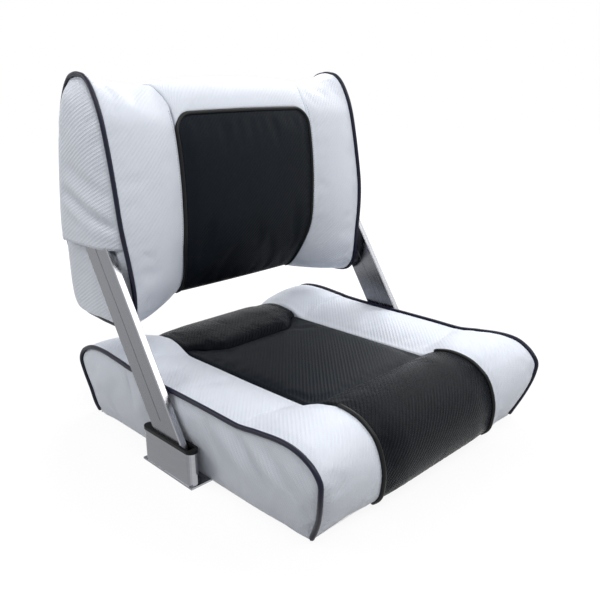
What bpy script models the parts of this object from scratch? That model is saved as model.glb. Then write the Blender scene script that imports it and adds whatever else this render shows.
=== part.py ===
"""A flip-back helm seat: an upholstered seat cushion, two swinging arms in side brackets, and a
two-sided backrest that turns on a bar between the arms' tops.

Metres, +Z up. The seat's front faces -Y. The origin is under the middle of the seat, on its underside.
Profiles are tables of shares: y as a share of half the depth, z as a share of the height they follow.
"""

import math

import bmesh
import bpy
import numpy as np

for old_object in list(bpy.data.objects):
    bpy.data.objects.remove(old_object, do_unlink=True)

# Fits shared by all pieces
clearance = 0.00035
running_clearance = 0.0012
overrun = 0.006
round_steps = 24

# Seat cushion
seat_depth = 0.492
seat_width = 0.450
seat_edge_height = 0.107
seat_base_width = 0.4285
seat_front_tuck = 0.005
seat_taper_height = 0.085
middle_width = 0.234
bolster_crown = 0.007
pad_height = 0.095
pad_crown = 0.003
side_bulge = 0.0015
piping_radius = 0.0029
welt_radius = 0.0026
seam_lip = 0.0010
rear_roll_flat = 0.060
welt_end_height = 0.010

# Seat board
board_thickness = 0.012
board_side_inset = 0.0107
board_end_inset = 0.0135
board_corner = 0.018

# Side brackets: a pocket on a foot that runs under the board
pocket_length = 0.1015
pocket_centre_y = 0.00075
pocket_height = 0.046
pocket_wall = 0.0021
foot_thickness = 0.0025
foot_front_lip = 0.001
foot_rear_lip = 0.0025
foot_side_lip = 0.0006
foot_reach = 0.090
insert_height = 0.004
insert_overhang = 0.0012
insert_skirt_height = 0.032
pin_radius = 0.004
pin_head_radius = 0.0065
pin_head_height = 0.003
pin_seat_depth = 0.0013
bush_wall = 0.0019
bush_clearance = 0.00015
foot_screw_radius = 0.0024
foot_screw_head_radius = 0.0044
foot_screw_length = 0.011
foot_screw_spacing = 0.050
foot_screw_inset = 0.022

# Arms
arm_pivot_height = 0.038
arm_pivot_y = -0.0065
arm_length = 0.3261
arm_lean = math.radians(31.84)
arm_width = 0.050
arm_thickness = 0.010
arm_spread = 0.461
arm_bevel = 0.0012
groove_width = 0.0012
groove_depth = 0.0005
groove_end_margin = 0.036
bar_radius = 0.010
bar_screw_radius = 0.0038
bar_screw_head_radius = 0.0076
bar_screw_head_height = 0.0038
bar_screw_length = 0.034

# Backrest, measured from the bar's axis, but for its foot's height over the seat's underside
back_above_bar = 0.1695
back_foot_height = 0.1605
back_half_depth = 0.080
back_width = 0.460
back_foot_width = 0.438
back_taper_top = 0.003
back_taper_height = 0.118
back_middle_width = 0.248
back_middle_foot_width = 0.224
back_middle_top_width = 0.264
back_narrowing_top = -0.050
back_narrowing_height = 0.080
back_flare_start = 0.125
back_flare_height = 0.035
back_crown = 0.008
panel_crown = 0.004
panel_top_above_bar = 0.118
panel_corner = 0.025
panel_skin = 0.005
panel_front_inner = 0.0145
panel_edge = 0.001
flap_height = 0.0150
flap_hem_below_bar = 0.044
flap_skin = 0.0022

# Backrest board and what holds the bar to it
back_board_thickness = 0.012
back_board_width = 0.400
back_board_top = 0.090
back_board_foot_gap = 0.0375
saddle_width = 0.016
saddle_thickness = 0.002
saddle_inset = 0.026
saddle_foot = 0.016
saddle_screw_radius = 0.0019
saddle_screw_head_radius = 0.004
saddle_screw_head_height = 0.0022
saddle_screw_length = 0.009

# Seat outline from under the rear, over the top, to under the front.
# Columns: edge y, edge z, seam y, seam z. The edge is the piping, the seam is beside the black middle.
seat_profile_shares = np.array([
    (0.870, 0.000, 0.866, 0.000),
    (0.927, 0.131, 0.923, 0.131),
    (0.943, 0.374, 0.939, 0.355),
    (0.963, 0.617, 0.951, 0.561),
    (0.976, 0.748, 0.947, 0.692),
    (0.967, 0.841, 0.923, 0.794),
    (0.935, 0.930, 0.882, 0.860),
    (0.886, 0.995, 0.829, 0.916),
    (0.829, 1.042, 0.772, 0.967),
    (0.748, 1.065, 0.711, 1.005),
    (0.663, 1.065, 0.642, 1.019),
    (0.581, 1.050, 0.573, 0.991),
    (0.520, 1.037, 0.520, 0.944),
    (0.476, 1.028, 0.476, 0.902),
    (0.423, 1.014, 0.423, 0.883),
    (0.207, 1.000, 0.207, 0.883),
    (-0.037, 1.000, -0.037, 0.879),
    (-0.280, 0.995, -0.280, 0.883),
    (-0.455, 0.986, -0.455, 0.888),
    (-0.512, 0.995, -0.512, 0.902),
    (-0.553, 1.009, -0.549, 0.935),
    (-0.589, 1.023, -0.581, 0.972),
    (-0.638, 1.036, -0.622, 1.012),
    (-0.707, 1.056, -0.691, 1.042),
    (-0.785, 1.065, -0.764, 1.031),
    (-0.854, 1.047, -0.829, 0.991),
    (-0.911, 1.000, -0.886, 0.916),
    (-0.955, 0.930, -0.931, 0.827),
    (-0.988, 0.822, -0.963, 0.701),
    (-1.000, 0.692, -0.977, 0.542),
    (-0.994, 0.523, -0.976, 0.346),
    (-0.972, 0.308, -0.959, 0.178),
    (-0.868, 0.000, -0.874, 0.000),
])
front_seam_row = 21

# The front roll's first points, down into the seam with the pad: end y, end z, middle y, middle z.
front_seam_shares = np.array([
    (-0.543, 0.869, -0.543, 0.860),
    (-0.553, 0.930, -0.555, 0.925),
])
front_middle_shares = np.array([
    (-0.581, 0.977),
    (-0.626, 1.023),
    (-0.699, 1.061),
    (-0.776, 1.051),
    (-0.846, 1.000),
    (-0.902, 0.921),
    (-0.947, 0.813),
    (-0.976, 0.682),
    (-0.988, 0.514),
    (-0.984, 0.336),
    (-0.963, 0.159),
    (-0.874, 0.000),
])

# The rear roll: end y, end z, middle y, middle z. Its ends curve back, so it looks like a pillow.
rear_roll_shares = np.array([
    (0.866, 0.000, 0.866, 0.000),
    (0.923, 0.131, 0.923, 0.131),
    (0.939, 0.355, 0.939, 0.355),
    (0.951, 0.561, 0.951, 0.561),
    (0.947, 0.692, 0.947, 0.692),
    (0.923, 0.794, 0.927, 0.785),
    (0.882, 0.860, 0.890, 0.855),
    (0.829, 0.916, 0.833, 0.925),
    (0.772, 0.967, 0.772, 0.986),
    (0.711, 1.005, 0.707, 1.037),
    (0.654, 1.005, 0.642, 1.056),
    (0.598, 0.991, 0.577, 1.056),
    (0.549, 0.963, 0.488, 1.023),
    (0.526, 0.916, 0.411, 0.958),
    (0.522, 0.850, 0.380, 0.850),
])

# Half of the backrest's outline, from the top to the bottom: edge depth, edge height, seam depth,
# seam height. Depths are shares of back_half_depth, heights of the whole height from the bottom.
back_profile_shares = np.array([
    (0.050, 1.000, 0.050, 0.958),
    (0.250, 0.989, 0.250, 0.951),
    (0.412, 0.955, 0.412, 0.924),
    (0.562, 0.894, 0.575, 0.877),
    (0.675, 0.823, 0.700, 0.813),
    (0.775, 0.721, 0.781, 0.727),
    (0.863, 0.606, 0.838, 0.606),
    (0.938, 0.486, 0.856, 0.486),
    (0.988, 0.353, 0.831, 0.344),
    (1.000, 0.245, 0.725, 0.239),
    (0.988, 0.122, 0.550, 0.144),
    (0.900, 0.045, 0.362, 0.085),
    (0.650, 0.005, 0.175, 0.065),
    (0.050, 0.000, 0.050, 0.063),
])

# The flap's dome from its edge inward: how far in, as a share of the half depth, and how far it has risen.
flap_dome_shares = ((0.0, 0.10), (0.02, 0.55), (0.05, 0.78), (0.10, 0.92), (0.18, 0.98), (0.30, 1.0), (0.65, 1.0))
flap_inner_shares = ((0.10, 0.45), (0.05, 0.0), (0.0, 0.0))
flap_ceiling_shares = (0.65, 0.30, 0.165)

# Sizes worked out from the ones above
seat_half_depth = seat_depth / 2
seam_x = middle_width / 2
seat_edge_x = seat_width / 2
groove_share = 1.85
seam_groove_share = 1.95
piping_groove = groove_share * piping_radius
seam_groove = seam_groove_share * welt_radius
arm_outer_x = arm_spread / 2 + arm_thickness
arm_inner_x = arm_spread / 2
pocket_inner_x = arm_inner_x - 2 * clearance
pocket_outer_x = arm_outer_x + 2 * clearance
bracket_inner_x = pocket_inner_x - pocket_wall
bracket_outer_x = pocket_outer_x + pocket_wall
bar_y = arm_pivot_y + arm_length * math.sin(arm_lean)
bar_z = arm_pivot_height + arm_length * math.cos(arm_lean)
side_insets = (clearance, back_half_depth / 8, back_half_depth * 0.6)
back_height = bar_z + back_above_bar - back_foot_height
back_board_front_y = bar_y + bar_radius + clearance
back_board_rear_y = back_board_front_y + back_board_thickness
panel_rear_inner = back_board_rear_y + clearance - bar_y
flap_outer_x = arm_inner_x + flap_height
saddle_place = back_middle_width / 2 - saddle_inset
board_half_width = seat_base_width / 2 - board_side_inset
board_top_z = board_thickness


def material(name, colour, roughness, metallic=0.0):
    made = bpy.data.materials.new(name)
    made.use_nodes = True
    shader = made.node_tree.nodes["Principled BSDF"]
    shader.inputs["Base Color"].default_value = (*colour, 1.0)
    shader.inputs["Roughness"].default_value = roughness
    shader.inputs["Metallic"].default_value = metallic
    made.diffuse_color = (*colour, 1.0)
    return made


white_vinyl = ((0.74, 0.76, 0.80), 0.45)
black_vinyl = ((0.018, 0.020, 0.024), 0.42)
navy_vinyl = ((0.012, 0.012, 0.030), 0.40)
aluminium = ((0.62, 0.63, 0.66), 0.22, 1.0)
steel = ((0.55, 0.55, 0.56), 0.28, 1.0)
rubber = ((0.012, 0.012, 0.013), 0.60)
nylon = ((0.03, 0.03, 0.03), 0.50)
plywood = ((0.42, 0.28, 0.15), 0.75)


def finish(made, name, look, pivot=None):
    """Names the object, gives it its own material and, for a moving piece, its joint's empty."""
    made.name = name
    made.data.name = name
    made.data.materials.clear()
    made.data.materials.append(material(name, *look))
    if pivot:
        made.parent = pivot
        made.location = made.location - pivot.location
    return made


def mesh_object(name, points, faces, location=(0.0, 0.0, 0.0)):
    """A mesh object from world points, with its origin at location and its faces turned outward."""
    mesh = bpy.data.meshes.new(name)
    mesh.from_pydata([tuple(p) for p in np.asarray(points) - np.asarray(location)], [], faces)
    work = bmesh.new()
    work.from_mesh(mesh)
    bmesh.ops.recalc_face_normals(work, faces=work.faces)
    work.to_mesh(mesh)
    work.free()
    mesh.shade_smooth()
    mesh.set_sharp_from_angle(angle=math.radians(50))
    made = bpy.data.objects.new(name, mesh)
    made.location = location
    bpy.context.collection.objects.link(made)
    return made


def cutter(made):
    made.hide_render = True
    made.display_type = "WIRE"
    return made


def combine(target, other, operation):
    """A Boolean on target, left as a modifier. The other object stays as a wire helper."""
    modifier = target.modifiers.new(operation.lower() + " " + other.name, "BOOLEAN")
    modifier.operation = operation
    modifier.solver = "EXACT"
    modifier.object = cutter(other)
    return target


def ladder_faces(count, first):
    """An end cap whose faces run straight across the ring, from its front half to its rear half."""
    return [(first + i, first + i + 1, first + count - 2 - i, first + count - 1 - i)
            for i in range(count // 2 - 1)]


def lofted(name, rings, cap_centres=(None, None), location=(0.0, 0.0, 0.0)):
    """A closed body through rings of equally many points. An end is flat, a fan to its centre or a ladder."""
    count = len(rings[0])
    points = [p for ring in rings for p in ring]
    faces = []
    for row in range(len(rings) - 1):
        for i in range(count):
            j = (i + 1) % count
            start, end = row * count, (row + 1) * count
            faces.append((start + i, start + j, end + j, end + i))
    for centre, first in ((cap_centres[0], 0), (cap_centres[1], (len(rings) - 1) * count)):
        if centre is None:
            faces.append(tuple(range(first, first + count)))
            continue
        if centre == "ladder":
            faces += ladder_faces(count, first)
            continue
        points.append(centre)
        faces += [(first + i, first + (i + 1) % count, len(points) - 1) for i in range(count)]
    return mesh_object(name, points, faces, location)


def box(name, low, high, location=(0.0, 0.0, 0.0)):
    (ax, ay, az), (bx, by, bz) = low, high
    ring = [(ax, ay), (bx, ay), (bx, by), (ax, by)]
    return lofted(name, [[(x, y, az) for x, y in ring], [(x, y, bz) for x, y in ring]], location=location)


def prism(name, outline, side_a, side_b, location=(0.0, 0.0, 0.0)):
    """An outline of (y, z) points pushed along X."""
    return lofted(name, [[(side_a, y, z) for y, z in outline], [(side_b, y, z) for y, z in outline]],
                  location=location)


def turned_x(name, stations, centre, steps=round_steps, location=(0.0, 0.0, 0.0)):
    """A round body along X: stations are (x, radius), centre is (y, z)."""
    turns = [2 * math.pi * i / steps for i in range(steps)]
    rings = [[(x, centre[0] + r * math.cos(a), centre[1] + r * math.sin(a)) for a in turns]
             for x, r in stations]
    return lofted(name, rings, location=location)


def turned(name, stations, foot, direction, steps=round_steps, location=(0.0, 0.0, 0.0)):
    """A round body from foot along a unit direction, "y" or "z": stations are (distance, radius)."""
    turns = [2 * math.pi * i / steps for i in range(steps)]
    rings = []
    for reach, r in stations:
        if direction == "z":
            rings.append([(foot[0] + r * math.cos(a), foot[1] + r * math.sin(a), foot[2] + reach) for a in turns])
        else:
            rings.append([(foot[0] + r * math.cos(a), foot[1] + reach, foot[2] + r * math.sin(a)) for a in turns])
    return lofted(name, rings, location=location)


def cord(name, path, radius, closed=False):
    """A round cord along a path of points, as a curve with a bevel."""
    curve = bpy.data.curves.new(name, "CURVE")
    curve.dimensions = "3D"
    curve.bevel_depth = radius
    curve.bevel_resolution = 2
    curve.use_fill_caps = not closed
    spline_made = curve.splines.new("POLY")
    spline_made.points.add(len(path) - 1)
    for point, place in zip(spline_made.points, path):
        point.co = (*place, 1.0)
    spline_made.use_cyclic_u = closed
    made = bpy.data.objects.new(name, curve)
    bpy.context.collection.objects.link(made)
    return made


def spline(rows, t):
    """Points of a smooth curve through the rows, at the row numbers t."""
    t = np.asarray(t, float)
    last = len(rows) - 1
    i = np.clip(np.floor(t).astype(int), 0, last - 1)
    f = (t - i)[:, None]
    before, here = rows[np.maximum(i - 1, 0)], rows[i]
    after, beyond = rows[i + 1], rows[np.minimum(i + 2, last)]
    return 0.5 * (2 * here + (after - before) * f
                  + (2 * before - 5 * here + 4 * after - beyond) * f**2
                  + (3 * here - before - 3 * after + beyond) * f**3)


def steps_along(rows, count, first=0.0):
    """Row numbers that follow the curve evenly, closer where it bends."""
    dense_t = np.linspace(first, len(rows) - 1, 40 * len(rows))
    spent = np.zeros(len(dense_t))
    for column in range(0, rows.shape[1], 2):
        leg = np.diff(spline(rows, dense_t)[:, column:column + 2], axis=0)
        length = np.hypot(leg[:, 0], leg[:, 1])
        heading = np.unwrap(np.arctan2(leg[:, 1], leg[:, 0]))
        turn = np.abs(np.diff(heading, prepend=heading[0]))
        spent[1:] += np.cumsum(length / length.sum() + 0.9 * turn / turn.sum())
    return np.interp(np.linspace(0, spent[-1], count), spent, dense_t)


def outward(line, closed=False):
    """Unit normals of a (y, z) line that runs with the body on its right."""
    if closed:
        along = np.roll(line, -1, axis=0) - np.roll(line, 1, axis=0)
    else:
        along = np.gradient(line, axis=0)
    along = along / np.linalg.norm(along, axis=1, keepdims=True)
    return np.stack([-along[:, 1], along[:, 0]], axis=1)


def smooth_step(value):
    value = np.clip(value, 0.0, 1.0)
    return value * value * (3 - 2 * value)


def rounded_outline(low, high, corner, steps=6):
    """A rectangle's (a, b) outline with round corners, anticlockwise."""
    points = []
    for quarter, (side_a, side_b) in enumerate(((1, 1), (0, 1), (0, 0), (1, 0))):
        middle_a = high[0] - corner if side_a else low[0] + corner
        middle_b = high[1] - corner if side_b else low[1] + corner
        for i in range(steps + 1):
            angle = math.pi / 2 * (quarter + i / steps)
            points.append((middle_a + corner * math.cos(angle), middle_b + corner * math.sin(angle)))
    return points


# Seat cushion
seat_scale = np.array([seat_half_depth, seat_edge_height])
seat_rows = seat_profile_shares * np.tile(seat_scale, 2)
seat_steps = steps_along(seat_rows, 46)


def seat_lateral(z, y):
    """Half the cushion's width at the piping's plane: it draws in towards the base, most at the front."""
    tuck = seat_front_tuck * smooth_step(-2 * np.asarray(y) / seat_half_depth - 1)
    drawn_in = (seat_width - seat_base_width) / 2 + tuck
    return seat_edge_x - drawn_in * (1 - smooth_step(np.asarray(z) / seat_taper_height))


def on_base(line, ends):
    """A (y, z) line whose given ends, 0 or -1, are carried straight on or back to the underside."""
    for end in ends:
        inner = line[1 if end == 0 else -2].copy()
        line[end] = inner + (line[end] - inner) * inner[1] / (inner[1] - line[end, 1])
    return line


def seat_line(share, offset):
    """The cushion's (y, z) outline between the seam (0) and the edge (1), moved out by offset."""
    both = spline(seat_rows, seat_steps)
    line = both[:, 2:] * (1 - share) + both[:, :2] * share
    if offset > 0:
        offset = offset * smooth_step(line[:, 1] / seat_edge_height)[:, None]
    # The outline runs rear to front over the top, so the body lies to its right.
    return on_base(line + offset * -outward(line), (0, -1))


def seat_bolster(side, name):
    stations = (
        (seam_x + clearance / 2, None, -seam_groove),
        (seam_x + seam_groove, None, seam_lip),
        (None, 0.16, 0.5 * bolster_crown),
        (None, 0.38, 0.8 * bolster_crown),
        (None, 0.64, bolster_crown),
        (None, 0.85, 0.8 * bolster_crown),
        (None, 1.0, clearance),
        (None, None, -piping_groove),
    )
    rings = []
    for x, share, offset in stations:
        across = share if share is not None else (0.0 if x else 1.0)
        line = seat_line(across, offset)
        if x is None:
            outer = seat_lateral(line[:, 1], line[:, 0])
            if share is None:
                at = outer + clearance
            else:
                at = seam_x + (outer - piping_groove - seam_x) * share
        else:
            at = np.full(len(line), x)
        rings.append([(side * a, y, z) for a, (y, z) in zip(at, line)])
    edge = seat_line(1.0, -piping_groove)
    centre = np.array([0.0, seat_edge_height / 2])
    for inward in (0.09, 0.26, 0.55):
        line = centre + (edge - centre) * (1 - inward)
        at = seat_lateral(line[:, 1], line[:, 0]) + side_bulge * smooth_step(inward * 2.5)
        rings.append([(side * a, y, z) for a, (y, z) in zip(at, line)])
    middle = (side * float(seat_lateral(centre[1], centre[0]) + side_bulge), centre[0], centre[1])
    return lofted(name, rings, (None, middle))


def middle_stations():
    """Places across the black middle, with 1 at a station that drops into the seam groove."""
    half = seam_x - clearance / 2
    places = [(half, 1.0), (seam_x - seam_groove, 0.0)]
    places += [(seam_x * share, 0.0) for share in (0.82, 0.64, 0.36)]
    return [(-x, drop) for x, drop in places] + [(0.0, 0.0)] + [(x, drop) for x, drop in places[::-1]]


def rear_blend(x):
    """0 at the rear roll's ends, 1 over its middle."""
    return float(1 - smooth_step((abs(x) - rear_roll_flat) / (seam_x - seam_groove - rear_roll_flat)))


rear_rows = rear_roll_shares * np.tile(seat_scale, 2)
rear_steps = steps_along(rear_rows, 19)
front_rows = np.vstack([
    front_seam_shares,
    np.hstack([seat_profile_shares[front_seam_row:, 2:], front_middle_shares]),
]) * np.tile(seat_scale, 2)
front_steps = steps_along(front_rows, 20)


def roll(name, rows, steps, blend, inner_first):
    """A roll across the seat's middle. Its inner wall stands in the seam with the pad."""
    rings = []
    for x, drop in middle_stations():
        both = spline(rows, steps)
        line = both[:, :2] * (1 - blend(x)) + both[:, 2:] * blend(x)
        moved = line - (seam_lip if drop == 0.0 else -seam_groove) * outward(line)
        wall = 0 if inner_first else -1
        moved = on_base(moved, (-1 - wall,))
        moved[wall, 0] = line[wall, 0]
        foot = (line[wall, 0], 0.0)
        ring = [foot, *map(tuple, moved)] if inner_first else [*map(tuple, moved), foot]
        rings.append([(x, y, z) for y, z in ring])
    return lofted(name, rings)


def front_blend(x):
    return float(1 - smooth_step((abs(x) / seam_x - 0.6) / 0.4))


def centre_pad():
    rings = []
    front_y = front_rows[0, 0] + clearance
    for x, drop in middle_stations():
        rear_y = (rear_rows[-1, 0] * (1 - rear_blend(x)) + rear_rows[-1, 2] * rear_blend(x)) - clearance
        ring = [(x, rear_y, board_top_z + clearance), (x, front_y, board_top_z + clearance)]
        lip = seam_groove / (rear_y - front_y)
        for share in (0.0, lip, 0.12, 0.3, 0.5, 0.7, 0.88, 1 - lip, 1.0):
            swell = pad_crown * (1 - (x / seam_x) ** 2) * 4 * share * (1 - share)
            sunk = seam_groove if share in (0.0, 1.0) or drop else 0.0
            ring.append((x, front_y + (rear_y - front_y) * share, pad_height + swell - sunk))
        rings.append(ring)
    return lofted("seat_centre_pad", rings)


def seat_board():
    outline = rounded_outline(
        (-board_half_width, seat_rows[-1, 0] + board_end_inset),
        (board_half_width, seat_rows[0, 0] - board_end_inset), board_corner, 4)
    return lofted("seat_board", [[(x, y, z) for x, y in outline] for z in (0.0, board_top_z)])


def board_recess():
    """The space that the soft pieces leave for the board."""
    return box("board_recess",
               (-board_half_width - clearance, seat_rows[-1, 0] + board_end_inset - clearance, -overrun),
               (board_half_width + clearance, seat_rows[0, 0] - board_end_inset + clearance,
                board_top_z + clearance))


def cut_at(line, low):
    """The stretch of a (y, z) line above a height, with its ends at that height."""
    above = np.flatnonzero(line[:, 1] > low)
    first, last = above[0], above[-1]
    kept = list(line[above])
    for inside, outside, place in ((first, first - 1, 0), (last, last + 1, len(kept) + 1)):
        if 0 <= outside < len(line):
            share = (line[inside, 1] - low) / (line[inside, 1] - line[outside, 1])
            kept.insert(place, line[inside] + (line[outside] - line[inside]) * share)
    return kept


def seat_cushion():
    pieces = []
    for side, word in ((-1, "left"), (1, "right")):
        bolster = finish(seat_bolster(side, f"seat_{word}_bolster"), f"seat_{word}_bolster", white_vinyl)
        pieces.append(bolster)
        both = spline(seat_rows, seat_steps)
        edge = both[:, :2]
        path = [(side * float(seat_lateral(z, y)), y, z) for y, z in cut_at(edge, 1.5 * piping_radius)]
        finish(cord(f"seat_{word}_piping", path, piping_radius), f"seat_{word}_piping", navy_vinyl)
        on_roll = both[seat_steps > front_seam_row + 0.9, 2:]
        path = [(side * seam_x, y, z) for y, z in cut_at(on_roll, welt_end_height)]
        finish(cord(f"seat_{word}_front_welt", path, welt_radius), f"seat_{word}_front_welt", black_vinyl)
    pieces.append(finish(roll("seat_rear_roll", rear_rows, rear_steps, rear_blend, False),
                         "seat_rear_roll", black_vinyl))
    pieces.append(finish(roll("seat_front_roll", front_rows, front_steps, front_blend, True),
                         "seat_front_roll", black_vinyl))
    recess = board_recess()
    for piece in pieces:
        combine(piece, recess, "DIFFERENCE")
    finish(centre_pad(), "seat_centre_pad", black_vinyl)
    board = finish(seat_board(), "seat_board", plywood)
    return pieces[:2], board


# Side brackets
def foot_screw_places(side):
    x = side * (bracket_inner_x - foot_reach + foot_screw_inset)
    return [(x, pocket_centre_y + foot_screw_spacing * share) for share in (-0.5, 0.5)]


def bracket(side, word):
    """An aluminium pocket with a foot: the foot's outline and the pocket's are joined, then hollowed."""
    front = pocket_centre_y - pocket_length / 2
    rear = pocket_centre_y + pocket_length / 2
    width = bracket_outer_x - bracket_inner_x
    inner = rounded_outline((bracket_inner_x, front), (bracket_outer_x, rear), width / 2 * 0.999, 5)
    wall = pocket_wall
    hollow = rounded_outline((pocket_inner_x, front + wall), (pocket_outer_x, rear - wall),
                             (pocket_outer_x - pocket_inner_x) / 2 * 0.999, 5)
    made = lofted(f"{word}_bracket", [[(side * x, y, z) for x, y in inner]
                                      for z in (foot_thickness / 2, pocket_height)])
    foot = box(f"{word}_foot", (min(side * (bracket_inner_x - foot_reach), side * (bracket_outer_x + foot_side_lip)),
                                front - foot_front_lip, 0.0),
               (max(side * (bracket_inner_x - foot_reach), side * (bracket_outer_x + foot_side_lip)),
                rear + foot_rear_lip, foot_thickness))
    combine(made, foot, "UNION")
    combine(made, lofted(f"{word}_hollow", [[(side * x, y, z) for x, y in hollow]
                                            for z in (foot_thickness + clearance, pocket_height + overrun)]),
            "DIFFERENCE")
    pin_hole = turned_x(f"{word}_pin_hole",
                        ((side * (bracket_inner_x - overrun), pin_radius + clearance),
                         (side * (pocket_outer_x + pin_seat_depth), pin_radius + clearance)),
                        (arm_pivot_y, arm_pivot_height))
    combine(made, pin_hole, "DIFFERENCE")
    for i, (x, y) in enumerate(foot_screw_places(side)):
        hole = turned(f"{word}_foot_hole_{i + 1}",
                      ((-overrun, foot_screw_head_radius + clearance), (0.0, foot_screw_head_radius + clearance),
                       (foot_thickness - clearance, foot_screw_radius + clearance),
                       (foot_thickness + overrun, foot_screw_radius + clearance)), (x, y, 0.0), "z")
        combine(made, hole, "DIFFERENCE")
    return finish(made, f"{word}_bracket", aluminium)


def foot_recess(side, word):
    """The foot's place in the board and in the cushion's edge, with a clearance all round."""
    edges = sorted((side * (bracket_inner_x - foot_reach - clearance), side * (bracket_outer_x + overrun)))
    return box(f"{word}_foot_recess",
               (edges[0], pocket_centre_y - pocket_length / 2 - foot_front_lip - clearance, -overrun),
               (edges[1], pocket_centre_y + pocket_length / 2 + foot_rear_lip + clearance,
                foot_thickness + clearance))


def arm_edge_y(z, sign):
    """The y of a leaning arm's edge at a height: sign +1 is its rear edge at rest."""
    from_pivot = z - arm_pivot_height
    return arm_pivot_y + sign * (from_pivot * math.tan(arm_lean) + arm_width / 2 / math.cos(arm_lean))


def arm_fan(name, gap, side_a, side_b):
    """The space between the arm's two ends of travel in the pocket, with a gap."""
    low_z = pocket_height - insert_skirt_height - overrun
    top_z = pocket_height + insert_height + overrun
    outline = [(arm_edge_y(z, sign) + sign * gap, z)
               for z, sign in ((low_z, -1), (low_z, 1), (top_z, 1), (top_z, -1))]
    return prism(name, outline, side_a, side_b)


def pocket_insert(side, word):
    """The black rim on the pocket. Its plugs fill the pocket's ends, and the arm rests against them."""
    front = pocket_centre_y - pocket_length / 2
    rear = pocket_centre_y + pocket_length / 2
    low_z = pocket_height + clearance
    top_z = low_z + insert_height
    out = insert_overhang
    outline = rounded_outline((bracket_inner_x - out, front - out), (bracket_outer_x + out, rear + out),
                              (bracket_outer_x - bracket_inner_x + 2 * out) / 2 * 0.999, 5)
    rim = lofted(f"{word}_pocket_insert", [[(side * x, y, z) for x, y in outline] for z in (low_z, top_z)])
    combine(rim, arm_fan(f"{word}_rim_slot", clearance, side * (arm_inner_x - clearance),
                         side * (arm_outer_x + clearance)), "DIFFERENCE")
    margin = clearance / 3
    inner = rounded_outline(
        (pocket_inner_x + margin, front + pocket_wall + clearance),
        (pocket_outer_x - margin, rear - pocket_wall - clearance),
        (pocket_outer_x - pocket_inner_x) / 2 * 0.97, 5)
    plug = lofted(f"{word}_plug", [[(side * x, y, z) for x, y in inner]
                                   for z in (pocket_height - insert_skirt_height, low_z + insert_height / 2)])
    combine(plug, arm_fan(f"{word}_plug_slot", 1.4 * clearance, side * (bracket_inner_x - overrun),
                          side * (bracket_outer_x + overrun)), "DIFFERENCE")
    combine(rim, plug, "UNION")
    return finish(rim, f"{word}_pocket_insert", rubber)


def bracket_pieces(side, word, bolster, board):
    bracket(side, word)
    pocket_insert(side, word)
    recess = foot_recess(side, word)
    combine(bolster, recess, "DIFFERENCE")
    combine(board, recess, "DIFFERENCE")
    head_start = bracket_inner_x - clearance
    finish(turned_x(f"{word}_pivot_pin",
                    ((side * (head_start - pin_head_height), pin_head_radius * 0.85),
                     (side * (head_start - pin_head_height * 0.6), pin_head_radius),
                     (side * head_start, pin_head_radius),
                     (side * head_start, pin_radius),
                     (side * (pocket_outer_x + pin_seat_depth - clearance), pin_radius)),
                    (arm_pivot_y, arm_pivot_height)), f"{word}_pivot_pin", steel)
    for i, (x, y) in enumerate(foot_screw_places(side)):
        hole = turned(f"{word}_board_hole_{i + 1}",
                      ((0.0, foot_screw_radius + clearance), (foot_screw_length + clearance,
                                                              foot_screw_radius + clearance)),
                      (x, y, 0.0), "z", 12)
        combine(board, hole, "DIFFERENCE")
        name = f"{word}_foot_screw_{i + 1}"
        finish(turned(name, ((clearance, foot_screw_head_radius), (foot_thickness, foot_screw_radius),
                             (foot_screw_length, foot_screw_radius)), (x, y, 0.0), "z", 12), name, steel)


# Arms
def arm(side, word, pivot):
    """A flat bar with round ends and a line down its middle, made upright and then leaned back."""
    half = arm_width / 2
    turns = [math.pi * i / 12 for i in range(13)]
    half_outline = [(math.cos(a), math.sin(a)) for a in turns]
    rings = []
    for across, inset in ((0.0, arm_bevel), (arm_bevel, 0.0), (arm_thickness - arm_bevel, 0.0),
                          (arm_thickness, arm_bevel)):
        r = half - inset
        outline = [(r * c, arm_length + r * s) for c, s in half_outline]
        outline += [(-r * c, -r * s) for c, s in half_outline]
        rings.append([(side * (arm_inner_x + across), y, z) for y, z in outline])
    made = lofted(f"{word}_arm", rings)
    holes = [
        turned_x(f"{word}_arm_pin_hole",
                 ((side * (arm_inner_x - overrun), pin_radius + bush_clearance + bush_wall + clearance),
                  (side * (arm_outer_x + overrun), pin_radius + bush_clearance + bush_wall + clearance)), (0.0, 0.0)),
        turned_x(f"{word}_arm_screw_hole",
                 ((side * (arm_inner_x - overrun), bar_screw_radius + clearance),
                  (side * (arm_outer_x - bar_screw_head_height - clearance), bar_screw_radius + clearance),
                  (side * arm_outer_x, bar_screw_head_radius + clearance),
                  (side * (arm_outer_x + overrun), bar_screw_head_radius + clearance)), (0.0, arm_length)),
    ]
    for face_x in (arm_inner_x, arm_outer_x):
        ends = sorted((side * (face_x - groove_depth), side * (face_x + groove_depth)))
        holes.append(box(f"{word}_groove", (ends[0], -groove_width / 2, groove_end_margin),
                         (ends[1], groove_width / 2, arm_length - groove_end_margin)))
    for hole in holes:
        combine(made, hole, "DIFFERENCE")
    for upright in [made, *holes]:
        upright.location = pivot.location
        upright.rotation_euler[0] = -arm_lean
    return finish(made, f"{word}_arm", aluminium, pivot)


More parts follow.
